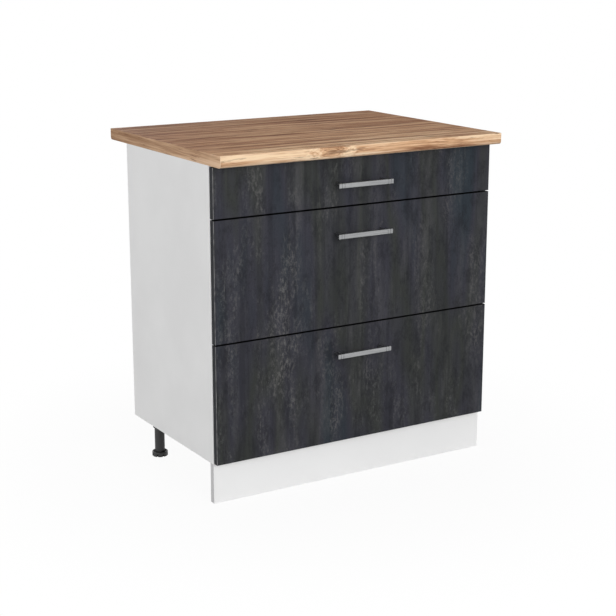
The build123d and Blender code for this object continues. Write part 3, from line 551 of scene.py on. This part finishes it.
@dataclass(frozen=True)
class SlateDecor(Finish):
    """Dark slate decor: soft upright patches in three dark greys, worn pale marks and a matt skin."""

    slot: str = "slate_decor"
    violet: Colour = linear(61, 61, 69)
    blue: Colour = linear(50, 57, 64)
    olive: Colour = linear(60, 62, 60)
    pale: Colour = linear(134, 133, 131)
    deep: Colour = linear(32, 33, 37)
    edge: Colour = linear(43, 44, 47)
    # Painted shadow: near black on the top and bottom edges, for the shade in the gaps between the fronts.
    painted_gap_shadow: Colour = linear(7, 7, 8)
    # Painted highlight: a pale line along the upright arrises.
    painted_arris_highlight: Colour = linear(150, 150, 150)
    # A factor on the decor's colour: darker towards the bottom, from high_z down to low_z.
    lower_darkening: Colour = (0.88, 0.88, 0.88)
    high_z: float = 0.72
    low_z: float = 0.32
    patches: Clouds = Clouds((10.0, 10.0, 1.5), 2.0)
    streaks: Layer = Layer(Clouds((64.0, 64.0, 1.5), 3.0, 0.55), 0.56, 0.36, deep, 0.3)
    veils: Layer = Layer(
        Clouds((19.0, 19.0, 2.6), 6.0, 0.62, (0.7, 0.0, 2.2)), 0.5, 0.7, linear(106, 105, 106), 0.26
    )
    mottle: Layer = Layer(Clouds((34.0, 34.0, 17.0), 9.0, 0.76), 0.54, 0.36, deep, 0.5)
    edge_streaks: Layer = Layer(Clouds((240.0, 240.0, 26.0), 7.0, 0.72), 0.36, 0.64, linear(62, 63, 66))
    blooms: Clouds = Clouds((12.0, 12.0, 3.0), 8.0, 0.7, (3.1, 0.0, 1.7))
    flecks: Clouds = Clouds((150.0, 150.0, 75.0), 6.0, 0.8)
    scratches: Clouds = Clouds((420.0, 420.0, 28.0), 3.0, 0.6)
    specks: Clouds = Clouds((620.0, 620.0, 430.0), 4.0, 0.7)
    highlight_breaks: Clouds = Clouds((50.0, 50.0, 50.0))
    relief: float = 0.00012
    gloss: float = 0.06

    def ground(self, tree: Recipe) -> Socket:
        """Upright patches of three dark greys under pale veils, faint streaks and fine mottling."""
        tones = ((0.34, self.blue), (0.44, self.violet), (0.54, self.olive), (0.66, self.violet))
        ground = tree.colours(tree.noise(self.patches), tones)
        ground = tree.layered(ground, self.streaks, self.veils, self.mottle)
        lower = tree.ranged(tree.at["Z"], self.high_z, self.low_z)
        return tree.over(lower, ground, self.lower_darkening, Blend.MULTIPLIED)

    def wear(self, tree: Recipe) -> Socket:
        """Where the decor's skin is worn pale: upright blooms broken into scratches and flecks."""
        bloom = tree.ranged(tree.noise(self.blooms), 0.46, 0.68)
        leftward = tree.ranged(tree.at["X"], 0.1, -0.3, 0.62, 1.15)
        fleck = tree.ranged(tree.noise(self.flecks), 0.46, 0.64, 0.05, 0.5)
        scratch = tree.ranged(tree.noise(self.scratches), 0.6, 0.74, 0.0, 0.3)
        return tree.times(tree.times(bloom, leftward), tree.plus(fleck, scratch))

    def arris_highlight_mask(self, tree: Recipe) -> Socket:
        """Painted highlight: one on the upright arrises, broken here and there."""
        out = tree.out["Y"]
        sideways = tree.ranged(tree.times(tree.out["X"], tree.out["X"]), 0.01, 0.1)
        broken_highlight = tree.ranged(tree.noise(self.highlight_breaks), 0.35, 0.6, 0.3, 1.0)
        turning = tree.times(tree.ranged(out, -0.985, -0.88), tree.ranged(out, -0.3, -0.1, 1.0, 0.0))
        return tree.times(tree.times(turning, sideways), broken_highlight)

    def material(self) -> Material:
        """The decor on both flat faces, dark bands on the narrow edges with painted shadow on the top and
        bottom ones, and a painted highlight on the arrises.
        """
        tree = Recipe(self.name)
        worn = self.wear(tree)
        speck = tree.noise(self.specks)
        skin = tree.over(worn, self.ground(tree), self.pale)
        skin = tree.over(tree.ranged(speck, 0.5, 0.36, 0.0, 0.4), skin, self.deep)
        edge = tree.layered(self.edge, self.edge_streaks)
        edge = tree.over(tree.ranged(speck, 0.5, 0.36, 0.0, 0.5), edge, self.deep)
        # Painted shadow on the top and bottom edges.
        level = tree.ranged(tree.times(tree.out["Z"], tree.out["Z"]), 0.06, 0.28)
        flat = tree.ranged(tree.times(tree.out["Y"], tree.out["Y"]), 0.09, 0.36)
        skin = tree.over(flat, tree.over(level, edge, self.painted_gap_shadow), tree.over(level, skin, self.painted_gap_shadow))
        # Painted highlight on the upright arrises.
        skin = tree.over(self.arris_highlight_mask(tree), skin, self.painted_arris_highlight)
        rough = tree.ranged(worn, 0.0, 0.7, 0.6, 0.72)
        return tree.finished(skin, rough, tree.plus(speck, worn), self.relief, gloss=self.gloss)


@dataclass(frozen=True)
class WhiteBoard(Finish):
    """White melamine-faced chipboard: a fine pearl texture, bright bands and raw sawn edges."""

    slot: str = "white_board"
    white: Colour = linear(238, 238, 238)
    shade: Colour = linear(232, 232, 232)
    band: Colour = linear(255, 255, 255)
    dull: Colour = linear(203, 203, 204)
    drift: Clouds = Clouds((5.0, 5.0, 5.0), 3.0)
    pearl: Clouds = Clouds((1500.0, 1500.0, 1500.0), 2.0)
    relief: float = 0.00003
    gloss: float = 0.3
    banded: tuple[Way, ...] = (Way.FRONT,)
    raw: tuple[Way, ...] = ()
    dulled: tuple[Way, ...] = ()

    def material(self) -> Material:
        """White faces, brighter bands, and raw chipboard where the board isn't banded."""
        tree = Recipe(self.name)
        body = tree.layered(
            self.white,
            Layer(self.drift, 0.3, 0.7, self.shade),
            Layer(self.pearl, 0.35, 0.7, self.shade, 0.3),
        )
        sawn = Chipboard().lay(tree) if self.raw else self.dull
        for ways, colour in ((self.banded, self.band), (self.dulled, self.dull), (self.raw, sawn)):
            for way in ways:
                body = tree.over(tree.looking(way), body, colour)
        pearl = tree.noise(self.pearl)
        rough = tree.ranged(pearl, 0.3, 0.7, 0.42, 0.54)
        return tree.finished(body, rough, pearl, self.relief, gloss=self.gloss)


@dataclass(frozen=True)
class Hardboard(Finish):
    """Thin hardboard, lacquered white on the face that is seen inside, brown and fibrous behind."""

    slot: str = "hardboard"
    white: Colour = linear(232, 231, 227)
    brown: Colour = linear(140, 103, 69)
    deep: Colour = linear(104, 72, 46)
    drift: Layer = Layer(Clouds((7.0, 7.0, 7.0)), 0.3, 0.7, linear(224, 223, 218), 0.5)
    fibres: Clouds = Clouds((260.0, 260.0, 260.0), 6.0, 0.7)
    screen_scale: Triple = (450.0, 450.0, 450.0)
    relief: float = 0.0002

    def material(self) -> Material:
        """Lacquer on the face towards the inside, bare fibre on the face away from it."""
        tree = Recipe(self.name)
        screen = tree.cells(tree.laid(self.screen_scale), randomness=0.15)
        bare = tree.layered(self.deep, Layer(self.fibres, 0.35, 0.65, self.brown))
        bare = tree.over(tree.ranged(screen, 0.2, 0.6, 0.0, 0.4), bare, self.deep)
        away = tree.most(tree.looking(Way.REAR, 0.3, 0.7), tree.looking(Way.BELOW, 0.3, 0.7))
        colour = tree.over(away, tree.layered(self.white, self.drift), bare)
        height = tree.times(tree.noise(self.fibres), tree.times(away, 0.8))
        return tree.finished(colour, tree.ranged(away, 0.0, 1.0, 0.42, 0.85), height, self.relief)


@dataclass(frozen=True)
class Steel(Finish):
    """Bare or plated metal with fine lines along the way that it was drawn or brushed."""

    slot: str
    bright: Colour
    dull: Colour
    roughness: float
    line_scale: Triple = (12.0, 1400.0, 1400.0)
    marks: Clouds = Clouds((70.0, 70.0, 70.0))
    relief: float = 0.00002

    def material(self) -> Material:
        """Metal whose colour, gloss and relief follow the lines, with faint handling marks."""
        tree = Recipe(self.name)
        clouds = Clouds(self.line_scale, 3.0, 0.6)
        layers = (Layer(clouds, 0.3, 0.7, self.bright), Layer(self.marks, 0.55, 0.8, self.dull, 0.35))
        colour = tree.layered(self.dull, *layers)
        lines = tree.noise(clouds)
        rough = tree.ranged(lines, 0.3, 0.7, self.roughness + 0.07, self.roughness - 0.05)
        return tree.finished(colour, rough, lines, self.relief, 0.4, metallic=1.0)


@dataclass(frozen=True)
class Moulded(Finish):
    """Moulded plastic or sprayed coating: a fine even grain, flow marks and lighter worn patches."""

    slot: str
    body: Colour
    worn: Colour
    roughness: float
    skin: Clouds = Clouds((900.0, 900.0, 900.0), 3.0, 0.6)
    flow: Clouds = Clouds((38.0, 38.0, 24.0))
    relief: float = 0.00004

    def material(self) -> Material:
        """Colour, gloss and relief from the grain of the skin."""
        tree = Recipe(self.name)
        layers = (Layer(self.flow, 0.45, 0.75, self.worn, 0.5), Layer(self.skin, 0.5, 0.8, self.worn, 0.4))
        skin = tree.noise(self.skin)
        rough = tree.ranged(skin, 0.3, 0.7, self.roughness - 0.06, self.roughness + 0.08)
        return tree.finished(tree.layered(self.body, *layers), rough, skin, self.relief)


@dataclass(frozen=True)
class Beech(Finish):
    """Plain beech dowels with short flecks along the grain."""

    slot: str = "beech"
    light: Colour = linear(222, 190, 148)
    dark: Colour = linear(188, 150, 108)
    flecks: Clouds = Clouds((60.0, 900.0, 900.0), 5.0)
    relief: float = 0.0001

    def material(self) -> Material:
        """Pale wood with flecks along Y, the way that the dowels lie."""
        tree = Recipe(self.name)
        flecks = tree.noise(self.flecks, Grain.ALONG_Y)
        colour = tree.over(tree.ranged(flecks, 0.35, 0.65), self.light, self.dark)
        return tree.finished(colour, tree.ranged(flecks, 0.3, 0.7, 0.6, 0.75), flecks, self.relief)


class Wardrobe:
    """All the finishes of the cabinet, each built once."""

    def __init__(self, finishes: Sequence[Finish]) -> None:
        """Builds every finish.

        Args:
            finishes: The finishes, at least one for each slot of the record.
        """
        self.finishes = {finish.name: finish for finish in finishes}
        self.materials = {finish.name: finish.material() for finish in finishes}

    def dress(self, piece: Piece, name: str) -> None:
        """Gives every slot of a piece's mesh the material of a finish.

        Args:
            piece: A node of the frame, or a new piece without a material yet.
            name: The finish's name.
        """
        material = self.materials[name]
        if not piece.material_slots:
            piece.data.materials.append(material)
            return
        for held in piece.material_slots:
            held.material = material


@dataclass(frozen=True)
class Lamp:
    """A square soft lamp; its place and side are in metres."""

    name: str
    place: Triple
    watts: float
    side: float = 2.6

    def hang(self, aim: Vector) -> None:
        """Hangs the lamp so that it faces a point."""
        data = bpy.data.lights.new(self.name, "AREA")
        data.size = self.side
        data.energy = self.watts
        lamp = bpy.data.objects.new(self.name, data)
        lamp.location = self.place
        lamp.rotation_euler = (aim - Vector(self.place)).to_track_quat("-Z", "Y").to_euler()
        bpy.context.scene.collection.objects.link(lamp)


@dataclass(frozen=True)
class Studio:
    """A white floor, soft lamps low on both sides and the camera."""

    camera_place: Triple = (-1.8992, -3.1271, 1.3070)
    camera_yaw: float = 31.45
    camera_pitch: float = -14.16
    camera_near: float = 0.05
    camera_far: float = 60.0
    lens: float = 83.97
    frame: float = 36.0
    floor_side: float = 14.0
    floor_white: Colour = (0.82, 0.82, 0.82)
    floor_glow: float = 0.94
    shadow_start: float = 0.35
    shadow_reach: float = 1.1
    sky: float = 0.36
    aim: Triple = (0.0, 0.0, 0.45)
    lamps: tuple[Lamp, ...] = (
        Lamp("key_front", (-0.6, -4.6, 1.7), 94.0),
        Lamp("fill_left", (-4.6, -0.8, 1.6), 55.0),
        Lamp("fill_right", (4.6, 0.6, 1.8), 54.0),
        Lamp("fill_rear", (0.4, 4.6, 1.9), 54.0),
    )

    def place_camera(self) -> None:
        """Puts the camera at the photograph's viewpoint."""
        data = bpy.data.cameras.new("camera")
        data.lens = self.lens
        data.sensor_width = self.frame
        data.clip_start = self.camera_near
        data.clip_end = self.camera_far
        camera = bpy.data.objects.new("camera", data)
        camera.location = self.camera_place
        turns = (90.0 + self.camera_pitch, 0.0, -self.camera_yaw)
        camera.rotation_euler = Euler([math.radians(t) for t in turns])
        bpy.context.scene.collection.objects.link(camera)
        bpy.context.scene.camera = camera

    def white_to_camera(self) -> None:
        """Makes the world white to the camera and in reflections, and a plain grey light elsewhere."""
        world = bpy.data.worlds.new("studio")
        bpy.context.scene.world = world
        tree = Tree(world)
        light, white = (
            tree.add("Background", {"Color": WHITE, "Strength": strength}).outputs["Background"]
            for strength in (self.sky, 1.0)
        )
        tree.add("OutputWorld", {"Surface": tree.mixed(self.seen_directly(tree), light, white)})

    def seen_directly(self, tree: Tree) -> Socket:
        """One for rays that show the surroundings: from the camera, off gloss and through glass."""
        path = tree.add("LightPath", {}).outputs
        seen = tree.most(path["Is Camera Ray"], path["Is Glossy Ray"])
        return tree.most(seen, path["Is Transmission Ray"])

    def lay_floor(self) -> None:
        """Lays a white floor that keeps the shadow, meets the backdrop unseen and is clear from below."""
        bpy.ops.mesh.primitive_plane_add(size=self.floor_side)
        floor = bpy.context.object
        floor.name = "floor"
        material = bpy.data.materials.new("floor_white")
        tree = Tree(material)
        paint = tree.add("BsdfDiffuse", {"Color": self.floor_white}).outputs["BSDF"]
        white = tree.add("Emission", {"Strength": 1.0}).outputs["Emission"]
        place = tree.add("TexCoord", {}).outputs["Object"]
        reach = tree.add("VectorMath", {0: place}, operation="LENGTH").outputs["Value"]
        fade = tree.ranged(reach, self.shadow_start, self.shadow_reach, self.floor_glow, 1.0)
        above = tree.mixed(tree.times(fade, self.seen_directly(tree)), paint, white)
        turned_away = tree.add("NewGeometry", {}).outputs["Backfacing"]
        clear = tree.add("BsdfTransparent", {}).outputs["BSDF"]
        tree.add("OutputMaterial", {"Surface": tree.mixed(turned_away, above, clear)})
        floor.data.materials.append(material)
        floor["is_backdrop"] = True

    def set_up(self) -> None:
        """Builds the whole studio."""
        bpy.context.scene.view_settings.view_transform = "Standard"
        self.place_camera()
        self.white_to_camera()
        self.lay_floor()
        for lamp in self.lamps:
            lamp.hang(Vector(self.aim))
        LOG.info("studio set up")


class Form:
    """A mesh in the making, shaped by bmesh's own operators."""

    def __init__(self, node: Piece | None = None) -> None:
        """Starts with nothing, or with a copy of a node's mesh."""
        self.mesh = bmesh.new()
        if node:
            self.mesh.from_mesh(node.data)
            self.join()

    def join(self) -> None:
        """Makes one of the corners that lie together."""
        bmesh.ops.remove_doubles(self.mesh, verts=self.mesh.verts, dist=MERGE)

    def spin(self, outline: Outline, closed: bool, **how: float | Triple) -> None:
        """Spins a line round Z.

        Args:
            outline: The radii and heights of its corners.
            closed: Whether it comes back to its start.
            **how: The spin's angle, steps and rise.
        """
        verts = [self.mesh.verts.new((radius, 0.0, height)) for radius, height in outline]
        following = verts[1:] + verts[:1] if closed else verts[1:]
        edges = [self.mesh.edges.new(pair) for pair in zip(verts, following)]
        bmesh.ops.spin(self.mesh, geom=[*verts, *edges], axis=UP, cent=ORIGIN, **how)

    def turn(self, profile: Outline, steps: int) -> None:
        """Turns an open profile once round Z."""
        self.spin(profile, False, angle=math.tau, steps=steps, use_merge=True)
        self.join()

    def wind(self, section: Outline, pitch: float, rise: float, steps: int) -> None:
        """Winds a closed section round Z into a thread with closed ends.

        Args:
            section: The section's radii and heights.
            pitch: How far one turn rises.
            rise: How far the whole thread rises.
            steps: Steps in one turn.
        """
        count = round(rise / pitch * steps)
        step = (0.0, 0.0, pitch / steps)
        self.spin(section, True, dvec=step, angle=math.tau * count / steps, steps=count)
        rims = [edge for edge in self.mesh.edges if edge.is_boundary]
        bmesh.ops.holes_fill(self.mesh, edges=rims, sides=len(section))

    def move(self, verts: Sequence[bmesh.types.BMVert], matrix: Matrix) -> None:
        """Moves, turns or scales some of the mesh's corners."""
        bmesh.ops.transform(self.mesh, matrix=matrix, verts=verts)

    def repeat(self, places: Sequence[Matrix]) -> None:
        """Puts a copy of the whole mesh at each place, and the mesh itself at the first."""
        first = [*self.mesh.verts, *self.mesh.edges, *self.mesh.faces]
        for place in places[1:]:
            copied = bmesh.ops.duplicate(self.mesh, geom=first)["geom"]
            self.move([part for part in copied if isinstance(part, bmesh.types.BMVert)], place)
        self.move([part for part in first if isinstance(part, bmesh.types.BMVert)], places[0])

    def islands(self) -> list[tuple[Vector, ...]]:
        """The corners of each loose part, in the order of the parts' places."""
        left = set(self.mesh.verts)
        parts = []
        while left:
            reached = [left.pop()]
            for vert in reached:
                near = [edge.other_vert(vert) for edge in vert.link_edges]
                for other in near:
                    if other in left:
                        left.remove(other)
                        reached.append(other)
            parts.append(tuple(vert.co.copy() for vert in reached))
        return sorted(parts, key=lambda part: tuple(round(c, 5) for c in sum(part, Vector()) / len(part)))

    def piece(self, name: str) -> Piece:
        """Ends the making.

        Args:
            name: The piece's name.

        Returns:
            The piece, in the scene, with its faces outwards and smooth but for its sharp edges.
        """
        bmesh.ops.recalc_face_normals(self.mesh, faces=self.mesh.faces)
        data = bpy.data.meshes.new(name)
        self.mesh.to_mesh(data)
        self.mesh.free()
        data.shade_smooth()
        data.set_sharp_from_angle(angle=CREASE)
        made = bpy.data.objects.new(name, data)
        bpy.context.scene.collection.objects.link(made)
        return made


@dataclass(frozen=True)
class Screw:
    """A screw with a cross recess and a real thread; all lengths are in metres.

    The head's seat is at the origin and the shank points along +Z. Without a head height the head is
    countersunk, flush with the seat.
    """

    diameter: float
    length: float
    head: float
    head_height: float = 0.0
    pitch: float = 0.0018
    core_share: float = 0.68
    recess_share: float = 0.6
    recess_depth: float = 0.0016
    steps: int = 24

    def profile(self) -> Outline:
        """The outline from the head's flat face to the tip, as radius and height."""
        crest = self.diameter / 2
        core = crest * self.core_share
        rim = self.head / 2
        face = rim * 0.86
        if self.head_height:
            top = -self.head_height
            head = [(face * 0.8, top), (rim * 0.88, top * 0.82), (rim, top * 0.4), (rim, 0.0)]
        else:
            head = [(face, 0.0), (rim, 0.0), (rim, 0.0002), (crest, rim - crest + 0.0002)]
        return [*head, (core, head[-1][1] + 0.0003), (core, self.length - crest), (0.0, self.length)]

    def cut_recess(self, form: Form) -> None:
        """Closes the head's face with a cross and sinks the cross into the head."""
        rim = [edge for edge in form.mesh.edges if edge.is_boundary]
        half = self.head / 2 * self.recess_share
        top = -self.head_height
        verts = bmesh.ops.create_grid(form.mesh, x_segments=3, y_segments=3, size=half)["verts"]
        form.move(verts, Matrix.Translation((0.0, 0.0, top)))
        faces = {face for vert in verts for face in vert.link_faces}
        middles = {face: face.calc_center_median() for face in faces}
        corners = [face for face, at in middles.items() if min(abs(at.x), abs(at.y)) > half / 3]
        bmesh.ops.delete(form.mesh, geom=corners, context="FACES")
        cross = [face for face in form.mesh.faces if face in faces]
        outline = {edge for face in cross for edge in face.edges if edge.is_boundary}
        bmesh.ops.bridge_loops(form.mesh, edges=[*rim, *outline])
        sunk = bmesh.ops.extrude_face_region(form.mesh, geom=cross)["geom"]
        bmesh.ops.delete(form.mesh, geom=[face for face in cross if face.is_valid], context="FACES")
        bottom = [part for part in sunk if isinstance(part, bmesh.types.BMVert)]
        taper = Matrix.Diagonal((0.6, 0.6, 1.0, 1.0))
        form.move(bottom, Matrix.Translation((0.0, 0.0, self.recess_depth)) @ taper)

    def form(self) -> Form:
        """One screw at the origin."""
        form = Form()
        form.turn(self.profile(), self.steps)
        self.cut_recess(form)
        crest = self.diameter / 2
        root = crest * self.core_share * 0.94
        start = self.profile()[-3][1]
        rise = self.length - crest - start - self.pitch
        section = [(root, start), (crest, start + self.pitch * 0.3), (root, start + self.pitch * 0.6)]
        form.wind(section, self.pitch, rise, self.steps // 2)
        return form

    def place(self, corners: Sequence[Vector], turn: float) -> Matrix:
        """Where the screw goes to stand in the place of a plain one.

        Args:
            corners: The plain screw's corners.
            turn: How far the head is turned, in radians.

        Returns:
            The place, with the head on the plain screw's wide end.
        """
        low = Vector([min(corner[i] for corner in corners) for i in range(3)])
        high = Vector([max(corner[i] for corner in corners) for i in range(3)])
        axis = max(range(3), key=lambda i: high[i] - low[i])
        middle = (low + high) / 2
        widths = []
        for end in (low[axis], high[axis]):
            at_end = [corner - middle for corner in corners if abs(corner[axis] - end) < 10 * MERGE]
            widths.append(max(out.length_squared - out[axis] ** 2 for out in at_end))
        sign = 1.0 if widths[0] > widths[1] else -1.0
        aim = Vector([sign if i == axis else 0.0 for i in range(3)])
        seat = middle.copy()
        seat[axis] = (low if sign > 0 else high)[axis] + sign * self.head_height
        turned = aim.to_track_quat("Z", "X").to_matrix().to_4x4()
        return Matrix.Translation(seat) @ turned @ Matrix.Rotation(turn, 4, "Z")


@dataclass
class SubAssembly:
    """A sub-assembly of the cabinet: it dresses its nodes and builds the pieces that replace some.

    It takes the frame's nodes by name and the finishes, and keeps the names of the nodes it has done.
    """

    nodes: dict[str, Piece]
    wardrobe: Wardrobe
    done: list[str] = field(default_factory=list, init=False)
    head_turn: float = field(default=0.9, init=False)  # radians from one screw's head to the next

    def build(self) -> None:
        """Builds and dresses everything of the sub-assembly."""
        raise NotImplementedError

    def wear(self, finish: str, *names: str) -> None:
        """Dresses nodes that keep their shape.

        Args:
            finish: The finish's name.
            names: The nodes' names.
        """
        for name in names:
            self.wardrobe.dress(self.nodes[name], finish)
            self.done.append(name)
            LOG.info("%s: %s wears %s", type(self).__name__, name, finish)

    def replace(self, form: Form, name: str, body: str, finish: str) -> None:
        """Puts a new piece in the place of a node.

        Args:
            form: The new piece's mesh.
            name: The node's name.
            body: The body that it moves with.
            finish: The finish's name.
        """
        made = form.piece(f"{name}_made")
        self.wardrobe.dress(made, finish)
        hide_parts(name)
        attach(made, body)
        self.done.append(name)
        LOG.info("%s: %s built with %d faces", type(self).__name__, made.name, len(made.data.polygons))

    def screws(self, screw: Screw, name: str, body: str) -> None:
        """Builds threaded screws in the places of a node's plain ones."""
        islands = Form(self.nodes[name]).islands()
        form = screw.form()
        form.repeat([screw.place(island, self.head_turn * index) for index, island in enumerate(islands)])
        self.replace(form, name, body, "zinc_plated_screws")


@dataclass
class Worktop(SubAssembly):
    """The oak worktop with its end bands and the screws that hold it from below."""

    screw: Screw = Screw(diameter=0.004, length=0.030, head=0.008, head_height=0.0022)

    def build(self) -> None:
        """Dresses the slab and its bands and builds the screws."""
        self.wear("oak_decor", "worktop")
        self.wear("oak_edge_band", "worktop_end_bands")
        self.screws(self.screw, "worktop_screws", "carcass")


@dataclass
class Carcass(SubAssembly):
    """The white boards between the legs and the worktop, with their cams and bolts."""

    def build(self) -> None:
        """Dresses every board by the way its sawn edges look."""
        self.wear("white_board_side", "side_panel_left", "side_panel_right")
        self.wear("white_board", "bottom_panel", "top_rail_front", "top_rail_rear")
        self.wear("hardboard", "back_panel")
        self.wear("die_cast_zinc", "cam_locks")
        self.wear("zinc_plated_screws", "cam_bolts")


@dataclass
class Legs(SubAssembly):
    """The four legs: flange, tube and a foot that turns on a threaded stem."""

    screw: Screw = Screw(diameter=0.004, length=0.016, head=0.008)
    stem: float = 0.009
    root: float = 0.0083
    crest: float = 0.00898
    bite: float = 0.0003  # how deep the thread's section reaches into the stem
    bottom: float = 0.0029
    thread_from: float = 0.0066
    thread_to: float = 0.0540
    pitch: float = 0.0030
    section: tuple[float, ...] = (0.0, 0.28, 0.46, 0.74)  # heights of the thread's corners, in pitches
    steps: int = 32

    def build(self) -> None:
        """Dresses flanges and tubes, and builds the screws and the threaded feet."""
        self.wear("black_plastic", "leg_flanges", "leg_tubes")
        self.screws(self.screw, "leg_screws", "carcass")
        for end in ENDS:
            for side in SIDES:
                self.thread_foot(f"{end}_{side}")

    def thread_foot(self, corner: str) -> None:
        """Cuts one foot's stem down to its root and winds the thread round it."""
        name = f"leg_foot_{corner}"
        low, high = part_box(name)
        middle = (low + high) / 2
        middle.z = 0.0
        form = Form(self.nodes[name])
        form.move(form.mesh.verts, Matrix.Translation(-middle))
        for vert in form.mesh.verts:
            if vert.co.z > self.bottom and self.root < vert.co.xy.length < self.stem + 10 * MERGE:
                vert.co.xy = vert.co.xy.normalized() * self.root
        inner = self.root - self.bite
        radii = (inner, self.crest, self.crest, inner)
        section = [(out, self.thread_from + self.pitch * up) for out, up in zip(radii, self.section)]
        form.wind(section, self.pitch, self.thread_to - self.thread_from - self.pitch, self.steps)
        form.move(form.mesh.verts, Matrix.Translation(middle))
        self.replace(form, name, f"foot_{corner}", "black_plastic")


@dataclass
class Plinth(SubAssembly):
    """The white plinth panel and its clips."""

    def build(self) -> None:
        """Dresses the panel and the clips."""
        self.wear("white_plinth", "plinth_panel")
        self.wear("black_plastic", "plinth_clips")


@dataclass
class RollerRunners(SubAssembly):
    """The steel rails and nylon rollers that the drawers run on."""

    screw: Screw = Screw(diameter=0.0035, length=0.014, head=0.007, pitch=0.0016)

    def build(self) -> None:
        """Dresses rails and rollers, and builds the screws that hold the rails to the sides."""
        for number in DRAWERS:
            self.wear("white_coated_steel", f"cabinet_rails_{number}", f"drawer_{number}_rails")
            self.wear("roller_nylon", f"front_rollers_{number}", f"rear_rollers_{number}")
        self.screws(self.screw, "runner_screws", "carcass")


@dataclass
class Drawer(SubAssembly):
    """One drawer: its slate front, white box, hardboard base and bar handle."""

    number: int = 1  # counted from the top
    box_screw: Screw = Screw(diameter=0.0035, length=0.030, head=0.007, pitch=0.0016)
    handle_screw: Screw = Screw(
        diameter=0.004,
        length=0.025,
        head=0.008,
        head_height=0.0025,
        pitch=0.0007,
        core_share=0.84,
    )

    @property
    def body(self) -> str:
        """The name of the body that the whole drawer is."""
        return f"drawer_{self.number}"

    def build(self) -> None:
        """Dresses the front, box and handle, and builds the screws."""
        self.wear("slate_decor", f"{self.body}_front")
        self.wear("drawer_board_side", *(f"{self.body}_side_{side}" for side in SIDES))
        self.wear("drawer_board", f"{self.body}_back")
        self.wear("hardboard", f"{self.body}_base")
        self.wear("beech", f"{self.body}_dowels")
        self.wear("brushed_steel", f"{self.body}_handle")
        self.screws(self.box_screw, f"{self.body}_screws", self.body)
        self.screws(self.handle_screw, f"{self.body}_handle_screws", self.body)


FINISHES: tuple[Finish, ...] = (
    OakDecor(),
    OakEdgeBand(),
    SlateDecor(),
    WhiteBoard(),
    WhiteBoard(piece="side", raw=(Way.REAR, Way.BELOW, Way.ABOVE)),
    WhiteBoard(slot="drawer_board", banded=(Way.ABOVE,), raw=(Way.BELOW,)),
    WhiteBoard(slot="drawer_board", piece="side", banded=(Way.ABOVE,), raw=(Way.REAR, Way.BELOW)),
    WhiteBoard(
        slot="white_plinth",
        white=linear(251, 251, 251),
        shade=linear(247, 247, 247),
        banded=(),
        raw=(Way.BELOW,),
        dulled=(Way.LEFT, Way.RIGHT),
    ),
    Hardboard(),
    Beech(),
    Steel("brushed_steel", linear(174, 175, 176), linear(136, 137, 139), 0.34),
    Steel("zinc_plated_screws", linear(214, 216, 218), linear(176, 178, 182), 0.3, (900.0, 900.0, 900.0)),
    Steel("die_cast_zinc", linear(190, 191, 192), linear(150, 151, 153), 0.45, (500.0, 500.0, 500.0)),
    Moulded("white_coated_steel", linear(240, 240, 238), linear(230, 230, 227), 0.4),
    Moulded("roller_nylon", linear(238, 238, 233), linear(226, 226, 220), 0.42),
    Moulded("black_plastic", linear(30, 30, 31), linear(50, 50, 51), 0.5),
)


def corners() -> list[list[float]]:
    """The lowest and highest corner of all that is shown, as plain lists."""
    return [[float(v) for v in corner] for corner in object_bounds()]


def main() -> None:
    """Builds the studio, then each sub-assembly of the cabinet in order."""
    logging.basicConfig(level=logging.INFO, format="%(name)s: %(message)s")
    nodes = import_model()["nodes"]
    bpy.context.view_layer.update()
    Studio().set_up()
    wardrobe = Wardrobe(FINISHES)
    whole = [part(nodes, wardrobe) for part in (Worktop, Carcass, Legs, Plinth, RollerRunners)]
    whole += [Drawer(nodes, wardrobe, number=number) for number in DRAWERS]
    for part in whole:
        part.build()
        LOG.info("%s: %d nodes done", type(part).__name__, len(part.done))
    left = set(nodes).difference(*(part.done for part in whole))
    if left:
        raise RuntimeError(f"nodes without a finish: {sorted(left)}")


if __name__ == "__main__":
    main()
